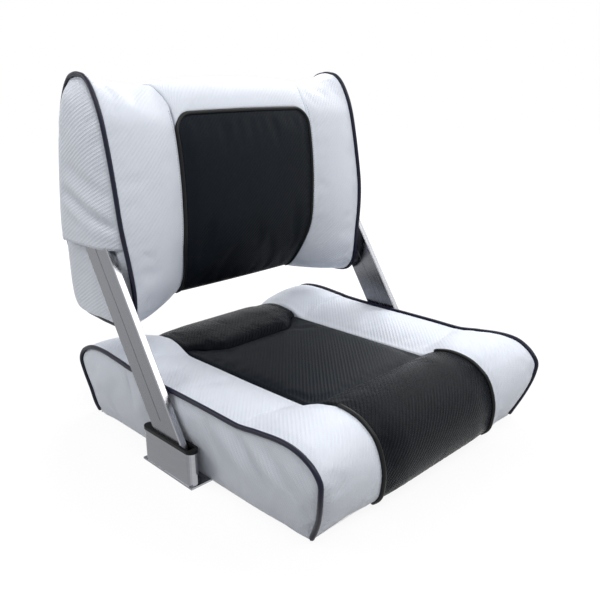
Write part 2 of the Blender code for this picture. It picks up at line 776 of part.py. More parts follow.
def arm_pieces(side, word, pivot):
    arm(side, word, pivot)
    centre = (arm_pivot_y, arm_pivot_height)
    inner_radius = pin_radius + bush_clearance
    ends = [side * (arm_inner_x - clearance), side * (arm_outer_x + clearance)]
    bush = turned_x(f"{word}_arm_bush", [(x, inner_radius + bush_wall) for x in ends], centre,
                    location=pivot.location)
    hole = turned_x(f"{word}_bush_hole", [(ends[0] - side * overrun, inner_radius),
                                          (ends[1] + side * overrun, inner_radius)], centre)
    combine(bush, hole, "DIFFERENCE")
    finish(bush, f"{word}_arm_bush", nylon, pivot)
    finish(turned_x(f"{word}_bar_screw",
                    ((side * (arm_outer_x - bar_screw_length), bar_screw_radius),
                     (side * (arm_outer_x - bar_screw_head_height), bar_screw_radius),
                     (side * (arm_outer_x - clearance), bar_screw_head_radius)), (bar_y, bar_z),
                    location=pivot.location), f"{word}_bar_screw", steel, pivot)


def cross_bar(pivot):
    end = arm_inner_x - clearance
    made = turned_x("cross_bar", ((-end, bar_radius), (end, bar_radius)), (bar_y, bar_z), location=pivot.location)
    for side, word in ((-1, "left"), (1, "right")):
        hole = turned_x(f"{word}_bar_hole", ((side * (arm_outer_x - bar_screw_length - clearance),
                                              bar_screw_radius + clearance),
                                             (side * (end + overrun), bar_screw_radius + clearance)), (bar_y, bar_z))
        combine(made, hole, "DIFFERENCE")
    return finish(made, "cross_bar", aluminium, pivot)


# Backrest
back_rows = back_profile_shares * np.tile((back_half_depth, back_height), 2) + np.tile((0.0, back_foot_height), 2)
back_steps = steps_along(back_rows, 22)
welt_foot_rows = 3.4
end_row_margin = 0.1


def back_lateral(z):
    """Half the backrest's width at the piping: it draws in below the flap, clear of the arms."""
    drawn_in = (back_width - back_foot_width) / 2
    return back_width / 2 - drawn_in * smooth_step((bar_z + back_taper_top - np.asarray(z)) / back_taper_height)


def back_seam(z):
    """Half the middle panels' width at a height: narrower at the foot, flared over the top."""
    z = np.asarray(z)
    narrowing = (back_middle_width - back_middle_foot_width) / 2
    flare = (back_middle_top_width - back_middle_width) / 2
    half = back_middle_width / 2
    half = half - narrowing * smooth_step((bar_z + back_narrowing_top - z) / back_narrowing_height)
    return half + flare * smooth_step((z - bar_z - back_flare_start) / back_flare_height)


def half_outward(half):
    """Unit normals of the half outline, which runs from the top to the bottom: (depth, height)."""
    along = np.gradient(half, axis=0)
    along = along / np.linalg.norm(along, axis=1, keepdims=True)
    return np.stack([-along[:, 1], along[:, 0]], axis=1)


def back_loop(share, offset, crown=0.0):
    """The backrest's closed (y, z) outline between the seam (0) and the edge (1), front half first."""
    both = spline(back_rows, back_steps)
    half = both[:, 2:] * (1 - share) + both[:, :2] * share
    height = (half[:, 1] - back_foot_height) / back_height
    # The crown fades towards the top, where the upholstery dips, and the bottom.
    swell = smooth_step(height / 0.2) * (1 - 1.6 * smooth_step((height - 0.80) / 0.15))
    front = half + (offset + crown * swell)[:, None] * half_outward(half)
    rear = front[::-1]
    return np.vstack([np.stack([bar_y - front[:, 0], front[:, 1]], axis=1),
                      np.stack([bar_y + rear[:, 0], rear[:, 1]], axis=1)])


def back_wing(side, word, pivot):
    rings = []
    for offset, lip, share in ((-seam_groove, clearance / 2, 0.0), (seam_lip, seam_groove, 0.0)):
        loop = back_loop(share, offset)
        rings.append([(side * a, y, z) for a, (y, z) in zip(back_seam(loop[:, 1]) + lip, loop)])
    for share, crown in ((0.14, 0.7), (0.34, 1.0), (0.60, 1.0), (0.83, 0.6), (1.0, 0.0)):
        loop = back_loop(share, clearance, crown * back_crown)
        seam, edge = back_seam(loop[:, 1]), back_lateral(loop[:, 1])
        rings.append([(side * a, y, z) for a, (y, z) in zip(seam + (edge - piping_groove - seam) * share, loop)])
    edge = back_loop(1.0, -piping_groove)
    rings.append([(side * a, y, z) for a, (y, z) in zip(back_lateral(edge[:, 1]) + clearance, edge)])
    rings += [side_ring(side, inset) for inset in side_insets]
    middle = (side * (arm_inner_x - running_clearance), bar_y, bar_z)
    return lofted(f"back_{word}_wing", rings, ("ladder", middle), location=pivot.location)


def side_line(inset):
    """A (y, z) ring of the backrest's side, an inset within the piping's groove."""
    if inset <= back_half_depth / 3:
        return back_loop(1.0, -piping_groove - inset)
    centre = np.array([bar_y, bar_z])
    return centre + (back_loop(1.0, -piping_groove) - centre) * (1 - inset / back_half_depth)


def side_ring(side, inset):
    line = side_line(inset)
    return [(side * a, y, z) for a, (y, z) in zip(side_flat(line), line)]


def side_flat(line):
    """The side's distance from the middle: it follows the piping, but stays clear of the arms."""
    return np.minimum(back_lateral(line[:, 1]), arm_inner_x - running_clearance)


def flap_ring(side, inset_share, rise):
    """A ring of the flap: how far in from its edge, and how far it has risen from the wing's side."""
    line = side_line(side_insets[0] + inset_share * back_half_depth)
    base = side_flat(line) + 2 * clearance
    return [(side * (a + (flap_outer_x - a) * rise), y, z) for a, (y, z) in zip(base, line)]


def side_flap(side, word, pivot):
    """The side panel over the arm's top: a hollow dome with its edge on the wing's side, open at its hem."""
    ceiling = flap_outer_x - flap_skin
    rings = [[(side * ceiling, y, z) for y, z in side_line(share * back_half_depth)]
             for share in flap_ceiling_shares]
    rings += [flap_ring(side, share, rise) for share, rise in flap_inner_shares + flap_dome_shares]
    made = lofted(f"back_{word}_flap", rings, ((side * ceiling, bar_y, bar_z), (side * flap_outer_x, bar_y, bar_z)),
                  location=pivot.location)
    hem_z = bar_z - flap_hem_below_bar
    ends = sorted((side * back_foot_width / 4, side * (flap_outer_x + overrun)))
    below = box(f"{word}_below_hem", (ends[0], bar_y - back_half_depth - overrun, back_foot_height - overrun),
                (ends[1], bar_y + back_half_depth + overrun, hem_z))
    combine(made, below, "DIFFERENCE")
    return finish(made, f"back_{word}_flap", white_vinyl, pivot)


def panel_stations():
    half = back_middle_width / 2
    flat = half - panel_corner
    places = [half - clearance / 2, half - seam_groove, half - 0.45 * panel_corner, flat, flat * 0.7, flat * 0.35]
    return [-x for x in places] + [0.0] + places[::-1]


def panel_top(x):
    """The height of the middle panel's upper edge at a place across it: flat, with round corners."""
    past = max(abs(x) - (back_middle_width / 2 - panel_corner), 0.0)
    return bar_z + panel_top_above_bar - panel_corner + math.sqrt(max(panel_corner**2 - past**2, 0.0))


def panel_inset(x, z):
    """How far a place on the middle panel lies inside its seam."""
    half = back_middle_width / 2
    corner_x = abs(x) - (half - panel_corner)
    corner_z = z - (bar_z + panel_top_above_bar - panel_corner)
    if corner_x > 0 and corner_z > 0:
        return panel_corner - math.hypot(corner_x, corner_z)
    return min(half - abs(x), panel_corner - corner_z)


def middle_crown(x, z):
    """How far the middle's upholstery swells over its seams at a place."""
    across = 1 - (x / (back_middle_width / 2)) ** 2
    return panel_crown * across * float(smooth_step((z - back_foot_height) / back_narrowing_height))


dense_rows = np.linspace(0, len(back_rows) - 1, 40 * len(back_rows))
dense_seam = spline(back_rows, dense_rows)[:, 2:]


def row_at_height(z):
    return float(np.interp(-z, -dense_seam[:, 1], dense_rows))


def row_at_depth(depth):
    """The row near the bottom where the seam has come in to a depth."""
    low = dense_seam[:, 1] < bar_z
    return float(np.interp(-depth, -dense_seam[low, 0], dense_rows[low]))


def groove_drop(inset):
    return seam_lip - (seam_lip + seam_groove) * float(np.clip(1 - inset / seam_groove, 0.0, 1.0))


back_normals = half_outward(spline(back_rows, back_steps)[:, 2:])


def middle_point(x, row, lift_of):
    """(across, depth, height) of the middle's surface at a row, lifted over the seam's own line."""
    depth, z = spline(back_rows, [row])[0, 2:]
    out = np.array([np.interp(row, back_steps, back_normals[:, i]) for i in (0, 1)])
    depth, z = np.array([depth, z]) + (middle_crown(x, z) + lift_of(x, z)) * out / np.linalg.norm(out)
    return x * float(back_seam(z)) / (back_middle_width / 2), float(depth), float(z)


def shared_rows(high_z, low_row):
    """The wings' own rows between two levels, so that the panels' sides match the wings'."""
    return [row for row in back_steps if row_at_height(high_z) < row < low_row]


def middle_panel(facing, name, inner_depth, pivot):
    """A black panel, from its top seam down to where it turns under."""
    rings = []
    end_row = row_at_depth(inner_depth + panel_edge)
    shared_z = bar_z + panel_top_above_bar - panel_corner - 1.5 * seam_groove
    shared = shared_rows(shared_z, end_row - end_row_margin)
    for x in panel_stations():
        top_z = panel_top(x) - clearance
        heights = [top_z, top_z - seam_groove, (top_z - seam_groove + shared_z) / 2]
        rows = [row_at_height(z) for z in heights] + shared + [end_row]
        outer = [middle_point(x, row, lambda a, z: groove_drop(min(panel_inset(a, z), top_z - z))) for row in rows]
        ring = [(a, bar_y + facing * max(depth, inner_depth + panel_edge), z) for a, depth, z in outer]
        ring += [(a, bar_y + facing * inner_depth, z) for a, depth, z in outer[::-1]]
        rings.append(ring)
    return lofted(name, rings, ("ladder", "ladder"), location=pivot.location)


def front_panel(pivot):
    """The front panel also closes the underside, up to the rear one."""
    made = middle_panel(-1, "back_front_panel", panel_front_inner, pivot)
    half = float(back_seam(back_rows[-1, 3])) - 2 * clearance
    under = box("back_underside",
                (-half, bar_y - panel_front_inner - panel_skin, back_rows[-1, 3] + clearance),
                (half, bar_y + panel_rear_inner - clearance, back_rows[-1, 3] + panel_skin))
    return finish(combine(made, under, "UNION"), "back_front_panel", black_vinyl, pivot)


def top_panel(pivot):
    """The white panel over the top, from the front panel's upper seam to the rear one's."""
    rings = []
    shared_z = bar_z + panel_top_above_bar + 1.5 * seam_groove
    shared = [row for row in back_steps[::-1] if row < row_at_height(shared_z)]
    for x in panel_stations():
        low_z = panel_top(x) + clearance
        heights = [low_z, low_z + seam_groove, (low_z + seam_groove + shared_z) / 2]
        rows = [row_at_height(z) for z in heights] + shared
        half = [middle_point(x, row, lambda a, z: groove_drop(min(back_middle_width / 2 - abs(a), z - low_z)))
                for row in rows]
        ring = [(a, bar_y - depth, z) for a, depth, z in half]
        ring += [(a, bar_y + depth, z) for a, depth, z in half[::-1]]
        rings.append(ring)
    made = lofted("back_top_panel", rings, ("ladder", "ladder"), location=pivot.location)
    return finish(made, "back_top_panel", white_vinyl, pivot)


def panel_welt(facing, name, pivot):
    """A welt round the middle panel's sides and top, lying in the groove between it and the white."""
    half = back_middle_width / 2
    top_z = bar_z + panel_top_above_bar
    shared = shared_rows(top_z - panel_corner - seam_groove, len(back_rows) - welt_foot_rows)
    outline = [(-half, float(spline(back_rows, [row])[0, 3])) for row in shared[::-1]]
    turns = [math.pi / 2 * i / 6 for i in range(7)]
    outline += [(-half + panel_corner * (1 - math.cos(a)), top_z - panel_corner * (1 - math.sin(a))) for a in turns]
    outline += [(x, top_z) for x in panel_stations() if panel_corner + clearance - half < x < 0.0]
    outline.append((0.0, top_z))
    outline += [(-x, z) for x, z in outline[-2::-1]]
    path = []
    for x, z in outline:
        across, depth, height = middle_point(x, row_at_height(z), lambda a, b: 0.0)
        path.append((across, bar_y + facing * depth, height))
    made = finish(cord(name, path, welt_radius), name, black_vinyl)
    made.parent = pivot
    made.location = -pivot.location
    return made


def saddle(place, name, pivot):
    """An omega strap that holds the bar against the board."""
    inner = bar_radius + clearance
    outer = inner + saddle_thickness
    board_y = back_board_front_y - clearance
    foot = outer + saddle_foot
    turns = [math.pi / 2 + math.pi * i / 10 for i in range(11)]
    outline = [(board_y, bar_z + foot), (board_y - saddle_thickness, bar_z + foot),
               (board_y - saddle_thickness, bar_z + outer)]
    outline += [(bar_y + outer * math.cos(a), bar_z + outer * math.sin(a)) for a in turns]
    outline += [(board_y - saddle_thickness, bar_z - outer), (board_y - saddle_thickness, bar_z - foot),
                (board_y, bar_z - foot), (board_y, bar_z - inner)]
    outline += [(bar_y + inner * math.cos(a), bar_z + inner * math.sin(a)) for a in turns[::-1]]
    outline.append((board_y, bar_z + inner))
    made = prism(name, outline, place - saddle_width / 2, place + saddle_width / 2, location=pivot.location)
    return finish(made, name, steel, pivot)


def backrest_core(pivot):
    board_low_z = back_foot_height + back_board_foot_gap
    board = box("back_board", (-back_board_width / 2, back_board_front_y, board_low_z),
                (back_board_width / 2, back_board_rear_y, bar_z + back_board_top), location=pivot.location)
    screw_reach = bar_radius + clearance + saddle_thickness + saddle_foot / 2
    for place, word in ((-saddle_place, "left"), (saddle_place, "right")):
        strap = saddle(place, f"{word}_saddle", pivot)
        for sign, level in ((-1, "lower"), (1, "upper")):
            name = f"{word}_saddle_{level}_screw"
            front_y = back_board_front_y - clearance - saddle_thickness
            foot = (place, front_y - clearance, bar_z + sign * screw_reach)
            finish(turned(name, ((-saddle_screw_head_height, saddle_screw_head_radius * 0.7),
                                 (-saddle_screw_head_height / 2, saddle_screw_head_radius),
                                 (0.0, saddle_screw_head_radius), (0.0, saddle_screw_radius),
                                 (saddle_screw_length, saddle_screw_radius)), foot, "y", 12,
                          location=pivot.location), name, steel, pivot)
            hole = turned(f"{name}_hole", ((-overrun / 2, saddle_screw_radius + clearance),
                                           (saddle_screw_length + clearance, saddle_screw_radius + clearance)),
                          foot, "y", 12)
            combine(strap, hole, "DIFFERENCE")
            combine(board, hole, "DIFFERENCE")
    finish(board, "back_board", plywood, pivot)


def backrest(pivot):
    half_slot = back_board_width / 2 + clearance
    slot = box("back_board_slot",
               (-half_slot, back_board_front_y - clearance, back_foot_height + back_board_foot_gap - clearance),
               (half_slot, back_board_rear_y + clearance, bar_z + back_board_top + clearance))
    bore = turned_x("bar_bore", ((-arm_outer_x, bar_radius + running_clearance),
                                 (arm_outer_x, bar_radius + running_clearance)), (bar_y, bar_z))
    for side, word in ((-1, "left"), (1, "right")):
        wing = back_wing(side, word, pivot)
        combine(wing, slot, "DIFFERENCE")
        combine(wing, bore, "DIFFERENCE")
        finish(wing, f"back_{word}_wing", white_vinyl, pivot)
        side_flap(side, word, pivot)
        edge = back_loop(1.0, 0.0)
        path = [(side * float(a), y, z) for a, (y, z) in zip(back_lateral(edge[:, 1]), edge)]
        piping = finish(cord(f"back_{word}_piping", path, piping_radius, True), f"back_{word}_piping", navy_vinyl)
        piping.parent = pivot
        piping.location = -pivot.location
    front_panel(pivot)
    rear = middle_panel(1, "back_rear_panel", panel_rear_inner, pivot)
    finish(rear, "back_rear_panel", black_vinyl, pivot)
    top_panel(pivot)
    panel_welt(-1, "back_front_welt", pivot)
    panel_welt(1, "back_rear_welt", pivot)
    backrest_core(pivot)


def pivot_empty(name, place):
    made = bpy.data.objects.new(name, None)
    made.location = place
    bpy.context.collection.objects.link(made)
    return made


arm_pivot = pivot_empty("arm_pivot", (0.0, arm_pivot_y, arm_pivot_height))
back_pivot = pivot_empty("back_pivot", (0.0, bar_y, bar_z))
bolsters, board_object = seat_cushion()
for side_sign, side_word in ((-1, "left"), (1, "right")):
    bracket_pieces(side_sign, side_word, bolsters[0 if side_sign < 0 else 1], board_object)
    arm_pieces(side_sign, side_word, arm_pivot)
cross_bar(arm_pivot)
backrest(back_pivot)
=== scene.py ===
import math
from functools import partial

import bmesh
import bpy
import numpy as np
from mathutils import Matrix
from mathutils.kdtree import KDTree


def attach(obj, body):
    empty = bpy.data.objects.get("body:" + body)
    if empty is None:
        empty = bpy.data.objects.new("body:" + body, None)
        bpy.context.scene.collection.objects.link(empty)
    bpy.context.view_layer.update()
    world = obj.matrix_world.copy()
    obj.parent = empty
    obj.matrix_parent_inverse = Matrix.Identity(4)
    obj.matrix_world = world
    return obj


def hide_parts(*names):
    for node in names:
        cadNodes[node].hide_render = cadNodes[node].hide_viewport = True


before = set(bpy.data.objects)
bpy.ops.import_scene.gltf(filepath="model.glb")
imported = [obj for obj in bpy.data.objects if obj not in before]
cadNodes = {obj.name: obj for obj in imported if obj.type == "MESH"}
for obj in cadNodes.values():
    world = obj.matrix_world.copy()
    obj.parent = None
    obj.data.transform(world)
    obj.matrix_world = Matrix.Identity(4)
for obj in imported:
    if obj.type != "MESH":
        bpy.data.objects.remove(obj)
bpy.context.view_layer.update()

mm = 0.001
print("frame loaded:", len(cadNodes), "nodes")


# curves and meshes

seamGap = 0.3 * mm  # between two covers that meet in a seam
pipingSeat = 1.8 * mm  # from the piping's middle to where a cover rolls off
rollOffTurns = np.linspace(0.06, 1, 6) * math.pi / 2
stripShares = np.linspace(0, 1, 17)  # places across a crowned strip
middleColumns, panelColumns = 43, 46  # columns across the seat's and the backrest's middle


def inMillimetres(lengths):
    return {name: value * mm for name, value in lengths.items()}


def smoothStep(value):
    value = np.clip(value, 0.0, 1.0)
    return value * value * (3 - 2 * value)


def curveThrough(rows, t):  # a smooth curve through table rows, at row numbers t
    t = np.atleast_1d(np.asarray(t, float))
    last = len(rows) - 1
    i = np.clip(np.floor(t).astype(int), 0, last - 1)
    f = (t - i)[:, None]
    before, here = rows[np.maximum(i - 1, 0)], rows[i]
    after, beyond = rows[i + 1], rows[np.minimum(i + 2, last)]
    bend = 2 * before - 5 * here + 4 * after - beyond
    twist = 3 * here - before - 3 * after + beyond
    return 0.5 * (2 * here + (after - before) * f + bend * f**2 + twist * f**3)


def evenSteps(rows, count, bend=0.5):  # row numbers spaced by length, and closer where the curve bends
    dense = np.linspace(0, len(rows) - 1, 60 * len(rows))
    spent = np.zeros(len(dense))
    for column in range(0, rows.shape[1], 2):
        leg = np.diff(curveThrough(rows, dense)[:, column:column + 2], axis=0)
        length = np.hypot(leg[:, 0], leg[:, 1])
        turn = np.abs(np.diff(np.unwrap(np.arctan2(leg[:, 1], leg[:, 0])), prepend=0.0))
        turn[0] = 0.0
        spent[1:] += np.cumsum(length / length.sum() + bend * turn / max(turn.sum(), 1e-9))
    return np.interp(np.linspace(0, spent[-1], count), spent, dense)


def outwardOf(line):  # unit normals on the left of a line of 2-D points
    along = np.gradient(line, axis=0)
    along = along / np.maximum(np.linalg.norm(along, axis=1, keepdims=True), 1e-9)
    return np.stack([-along[:, 1], along[:, 0]], axis=1)


def lengthAlong(points):
    return np.concatenate([[0.0], np.cumsum(np.linalg.norm(np.diff(points, axis=0), axis=1))])


def roundOff(distance, radius):  # how far a padded edge has dropped, at a distance from its seam
    inside = np.clip(1 - np.asarray(distance) / radius, 0.0, 1.0)
    return radius * (1 - np.sqrt(np.maximum(1 - inside**2, 0.0)))


def creased(a, b, creases):  # height of soft creases at places (a, b); a crease fades out towards both ends
    total = np.zeros(np.shape(a))
    for a0, b0, a1, b1, halfWidth, height in np.asarray(creases) * mm:
        run = np.array([a1 - a0, b1 - b0])
        share = np.clip(((a - a0) * run[0] + (b - b0) * run[1]) / (run @ run), 0.0, 1.0)
        away = np.hypot(a - a0 - run[0] * share, b - b0 - run[1] * share)
        total += height * np.exp(-(away / halfWidth) ** 2) * np.sqrt(np.maximum(np.sin(math.pi * share), 0.0))
    return total


def atX(x, points):  # points of a section at x
    return np.column_stack([np.full(len(points), x), points])


def endSteps(radius):  # distances from a seam, closer together near it
    return radius * (1 - np.cos(rollOffTurns))


def placesAcross(half, radius, count):  # x of the columns, closer together at the seams
    ends = endSteps(radius)
    return np.concatenate([-half + ends, np.linspace(-half + radius, half - radius, count)[1:-1],
        (half - ends)[::-1]])


def turnedUv(a, b, degrees):  # the weave lies turned on a side panel
    spin = math.radians(degrees)
    return np.stack([a * math.cos(spin) + b * math.sin(spin), b * math.cos(spin) - a * math.sin(spin)],
        axis=2)


def stripUv(grid, rows, steps):  # x across, and the length along the edge
    along = lengthAlong(curveThrough(rows, steps)[:, :2])
    return np.stack([grid[:, :, 0], np.repeat(-along[:, None], grid.shape[1], axis=1)], axis=2)


def newObject(name, mesh):
    made = bpy.data.objects.new(name, mesh)
    bpy.context.scene.collection.objects.link(made)
    return made


def wrappedMesh(name, grid, uvSets, setOfFace=None, capEnds=False):
    # grid is (columns, across, 3), closed across; setOfFace names the UV set for each place across
    columns, across = grid.shape[:2]
    setOfFace = setOfFace or [0] * across
    faces, uvs = [], []
    for i in range(columns - 1):
        for j in range(across):
            k = (j + 1) % across
            faces.append((i * across + j, i * across + k, (i + 1) * across + k, (i + 1) * across + j))
            uv = uvSets[setOfFace[j]]
            uvs += [uv[i, j], uv[i, k], uv[i + 1, k], uv[i + 1, j]]
    if capEnds:
        for row in (0, columns - 1):
            for j in range(across // 2 - 1):
                corners = (j, j + 1, across - 2 - j, across - 1 - j)
                faces.append(tuple(row * across + corner for corner in corners))
                uvs += [uvSets[0][row, corner] for corner in corners]
    mesh = bpy.data.meshes.new(name)
    mesh.from_pydata([tuple(p) for p in grid.reshape(-1, 3)], [], faces)
    layer = mesh.uv_layers.new(name="cloth")
    layer.data.foreach_set("uv", np.asarray(uvs, np.float32).reshape(-1))
    work = bmesh.new()
    work.from_mesh(mesh)
    bmesh.ops.remove_doubles(work, verts=work.verts, dist=0.02 * mm)
    bmesh.ops.recalc_face_normals(work, faces=work.faces)
    if work.calc_volume(signed=True) < 0:
        bmesh.ops.reverse_faces(work, faces=work.faces)
    work.to_mesh(mesh)
    work.free()
    mesh.shade_smooth()
    return newObject(name, mesh)


def closedUp(made):  # fills the open ends and turns the faces outwards
    work = bmesh.new()
    work.from_mesh(made.data)
    bmesh.ops.holes_fill(work, edges=[edge for edge in work.edges if edge.is_boundary])
    bmesh.ops.recalc_face_normals(work, faces=work.faces)
    work.to_mesh(made.data)
    work.free()
    made.data.shade_smooth()
    return made


# the covers are settled over their padding with a short cloth run: air pressure lifts the vinyl, which is
# cut slightly full, and its seams hold it
clothFrames = 18
clothRun = {"quality": 5, "mass": 0.25, "tension_stiffness": 14.0, "compression_stiffness": 14.0,
            "shear_stiffness": 7.0, "bending_stiffness": 2.0, "use_pressure": True,
            "uniform_pressure_force": 4.0, "vertex_group_mass": "held"}


def heldNear(points, path, reach):  # 1 on a seam path, fading to 0 at its reach
    tree = KDTree(len(path))
    for i, place in enumerate(path):
        tree.insert(place, i)
    tree.balance()
    away = np.array([tree.find(p)[2] for p in points])
    return 1 - smoothStep((away / reach - 0.45) / 0.55)


def settled(made, held, cap, fullness):
    # held gives each vertex's hold, from 0 to 1; cap is the most that one may move
    scene = bpy.context.scene
    before = np.array([vertex.co for vertex in made.data.vertices])
    hold = held(before)
    group = made.vertex_groups.new(name="held")
    for i in np.nonzero(hold > 0.001)[0]:
        group.add([int(i)], float(min(hold[i], 1.0)), "REPLACE")
    run = made.modifiers.new("cloth", "CLOTH")
    for name, value in clothRun.items():
        setattr(run.settings, name, value)
    run.settings.shrink_min = -fullness
    run.settings.effector_weights.gravity = 0.0
    run.collision_settings.use_collision = False
    run.point_cache.frame_start, run.point_cache.frame_end = 1, clothFrames
    for number in range(1, clothFrames + 1):
        scene.frame_set(number)
    shape = made.evaluated_get(bpy.context.evaluated_depsgraph_get()).to_mesh()
    after = np.array([vertex.co for vertex in shape.vertices])
    moved = (after - before) * (1 - np.clip(hold, 0, 1))[:, None]
    far = np.linalg.norm(moved, axis=1, keepdims=True)
    moved *= cap * np.tanh(far / cap) / np.maximum(far, 1e-9)
    made.modifiers.remove(run)
    made.vertex_groups.remove(group)
    made.data.vertices.foreach_set("co", (before + moved).reshape(-1))
    made.data.update()
    scene.frame_set(1)
    print(made.name, "settled: moved up to", round(float(far.max()) * 1000, 1), "mm, kept under", cap * 1000)
    return made


def finishPiece(made, look, body, replaced):
    made.data.materials.clear()
    made.data.materials.append(look)
    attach(made, body)
    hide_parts(replaced)


# materials

def linearColour(code):  # sRGB hex to linear
    values = [int(code[i:i + 2], 16) / 255 for i in (1, 3, 5)]
    return (*[v / 12.92 if v <= 0.04045 else ((v + 0.055) / 1.055) ** 2.4 for v in values], 1.0)


def addNode(tree, kind, links=None, **settings):
    # a plain kind is a shader node's; a link starts at a socket or at a node's first output
    node = tree.nodes.new(kind if "Node" in kind else "ShaderNode" + kind)
    for name, value in settings.items():
        setattr(node, name, value)
    for socket, source in (links or {}).items():
        if isinstance(source, bpy.types.Node):
            source = source.outputs[0]
        if isinstance(source, bpy.types.NodeSocket):
            tree.links.new(source, node.inputs[socket])
        else:
            node.inputs[socket].default_value = source
    return node


def newMaterial(name):  # with a function that adds nodes to it
    made = bpy.data.materials.new(name)
    made.use_nodes = True
    made.node_tree.nodes.clear()
    return made, partial(addNode, made.node_tree)


# Marine upholstery vinyl: PVC skin on knit, embossed with a 2 x 2 twill. The twill's diagonals read as
# fine ribs, and the skin has a soft, slightly greasy gloss.
vinyl = {
    "towWidth": 1.59 * mm,  # diagonals 4.5 mm apart
    "ribHeight": 0.16 * mm, "grainHeight": 0.03 * mm, "grainScale": 1600.0, "cloudScale": 14.0,
}


def vinylMaterial(name, base, soil, roughness, ribs, specular, sheen=0.0):
    made, node = newMaterial(name)
    uv = node("UVMap", uv_map="cloth")
    scaled = node("VectorMath", {0: uv, 1: (1 / vinyl["towWidth"],) * 3}, operation="MULTIPLY")
    across, along = node("SeparateXYZ", {0: scaled}).outputs[:2]
    # the diagonal rib, 4 tows to a turn
    lean = node("Math", {0: across, 1: along}, operation="SUBTRACT")
    turn = node("Math", {0: lean, 1: math.pi / 2}, operation="MULTIPLY")
    rib = node("Math", {0: turn}, operation="SINE")
    # each tow is round across its width; which one lies on top follows the diagonal
    tows = []
    for side in (across, along):
        part = node("Math", {0: side, 1: math.pi}, operation="MULTIPLY")
        wave = node("Math", {0: part}, operation="SINE")
        tows.append(node("Math", {0: wave}, operation="ABSOLUTE"))
    onTop = node("MapRange", {0: rib, 1: -0.3, 2: 0.3})
    tow = node("Mix", {0: onTop, 2: tows[0], 3: tows[1]})
    relief = node("Math", {0: rib, 1: 0.55, 2: tow}, operation="MULTIPLY_ADD")
    place = node("TexCoord").outputs["Object"]
    grain = node("TexNoise", {"Vector": place, "Scale": vinyl["grainScale"], "Detail": 3.0, "Roughness": 0.6})
    cloud = node("TexNoise", {"Vector": place, "Scale": vinyl["cloudScale"], "Detail": 4.0,
        "Roughness": 0.55})
    ribBump = node("Bump", {"Height": relief, "Strength": 1.0, "Distance": vinyl["ribHeight"] * ribs})
    grainBump = node("Bump", {"Height": grain, "Strength": 0.6, "Normal": ribBump,
        "Distance": vinyl["grainHeight"]})
    spread = node("MapRange", {0: cloud, 1: 0.35, 2: 0.75, 3: 0.0, 4: 0.55})
    tone = node("Mix", {0: spread, 6: linearColour(base), 7: linearColour(soil)}, data_type="RGBA")
    gloss = node("MapRange", {0: grain, 1: 0.3, 2: 0.7, 3: roughness - 0.06, 4: roughness + 0.06})
    shader = node("BsdfPrincipled", {"Base Color": tone.outputs[2], "Roughness": gloss, "Normal": grainBump,
        "IOR": 1.5, "Specular IOR Level": specular, "Specular Tint": (0.82, 0.9, 1.0, 1.0),
        "Sheen Weight": sheen, "Sheen Roughness": 0.3, "Sheen Tint": (0.72, 0.84, 1.0, 1.0)})
    node("OutputMaterial", {0: shader})
    return made


# Aluminium: extruded and clear anodised (arms) or buffed (brackets). Brush lines follow its length. The
# narrow faces get a lighter colour than the broad sides: a painted reflection, not a difference in the metal.
def aluminiumMaterial(name, broad, narrow, roughness, lineScale, lineDepth, smudge, lean=0.0):
    made, node = newMaterial(name)
    given = node("TexCoord")
    place = given.outputs["Object"]
    # painted reflection: faces turned away from the X axis, the narrow faces, tops and ends, get the lighter
    # colour
    facing = node("SeparateXYZ", {0: given.outputs["Normal"]})
    sideways = node("Math", {0: facing}, operation="ABSOLUTE")
    onSide = node("MapRange", {0: sideways, 1: 0.55, 2: 0.95})
    paintedReflectionTone = node("Mix", {0: onSide, 6: linearColour(narrow), 7: linearColour(broad)}, data_type="RGBA")
    upright = node("Mapping", {"Vector": place, "Rotation": (lean, 0.0, 0.0)})
    stretched = node("Mapping", {"Vector": upright, "Scale": lineScale})
    lines = node("TexNoise", {"Vector": stretched, "Scale": 1.0, "Detail": 4.0, "Roughness": 0.65})
    marks = node("TexNoise", {"Vector": place, "Scale": 60.0, "Detail": 5.0, "Roughness": 0.6})
    bump = node("Bump", {"Height": lines, "Strength": 0.8, "Distance": lineDepth})
    lineGloss = node("MapRange", {0: lines, 1: 0.3, 2: 0.7, 3: roughness * 0.8, 4: roughness * 1.25})
    markGloss = node("MapRange", {0: marks, 1: 0.52, 2: 0.7, 3: 0.0, 4: smudge})
    gloss = node("Math", {0: lineGloss, 1: markGloss}, operation="ADD")
    tint = node("MapRange", {0: lines, 1: 0.25, 2: 0.75, 3: 0.92, 4: 1.05})
    tone = node("VectorMath", {0: paintedReflectionTone.outputs[2], 1: tint}, operation="MULTIPLY")
    shader = node("BsdfPrincipled", {"Base Color": tone, "Metallic": 1.0, "Roughness": gloss, "Normal": bump})
    node("OutputMaterial", {0: shader})
    return made


# Small finishes in one colour: PVC piping, zinc-plated steel, nylon, rubber, thread, with a fine grain.
def plainMaterial(name, base, roughness, metallic=0.0, noiseScale=300.0, depth=0.05 * mm, specular=0.5):
    made, node = newMaterial(name)
    place = node("TexCoord").outputs["Object"]
    grain = node("TexNoise", {"Vector": place, "Scale": noiseScale, "Detail": 4.0})
    bump = node("Bump", {"Height": grain, "Strength": 0.5, "Distance": depth})
    gloss = node("MapRange", {0: grain, 1: 0.3, 2: 0.7, 3: roughness - 0.06, 4: roughness + 0.08})
    shader = node("BsdfPrincipled", {"Base Color": linearColour(base), "Metallic": metallic,
        "Roughness": gloss, "Normal": bump, "Specular IOR Level": specular})
    node("OutputMaterial", {0: shader})
    return made


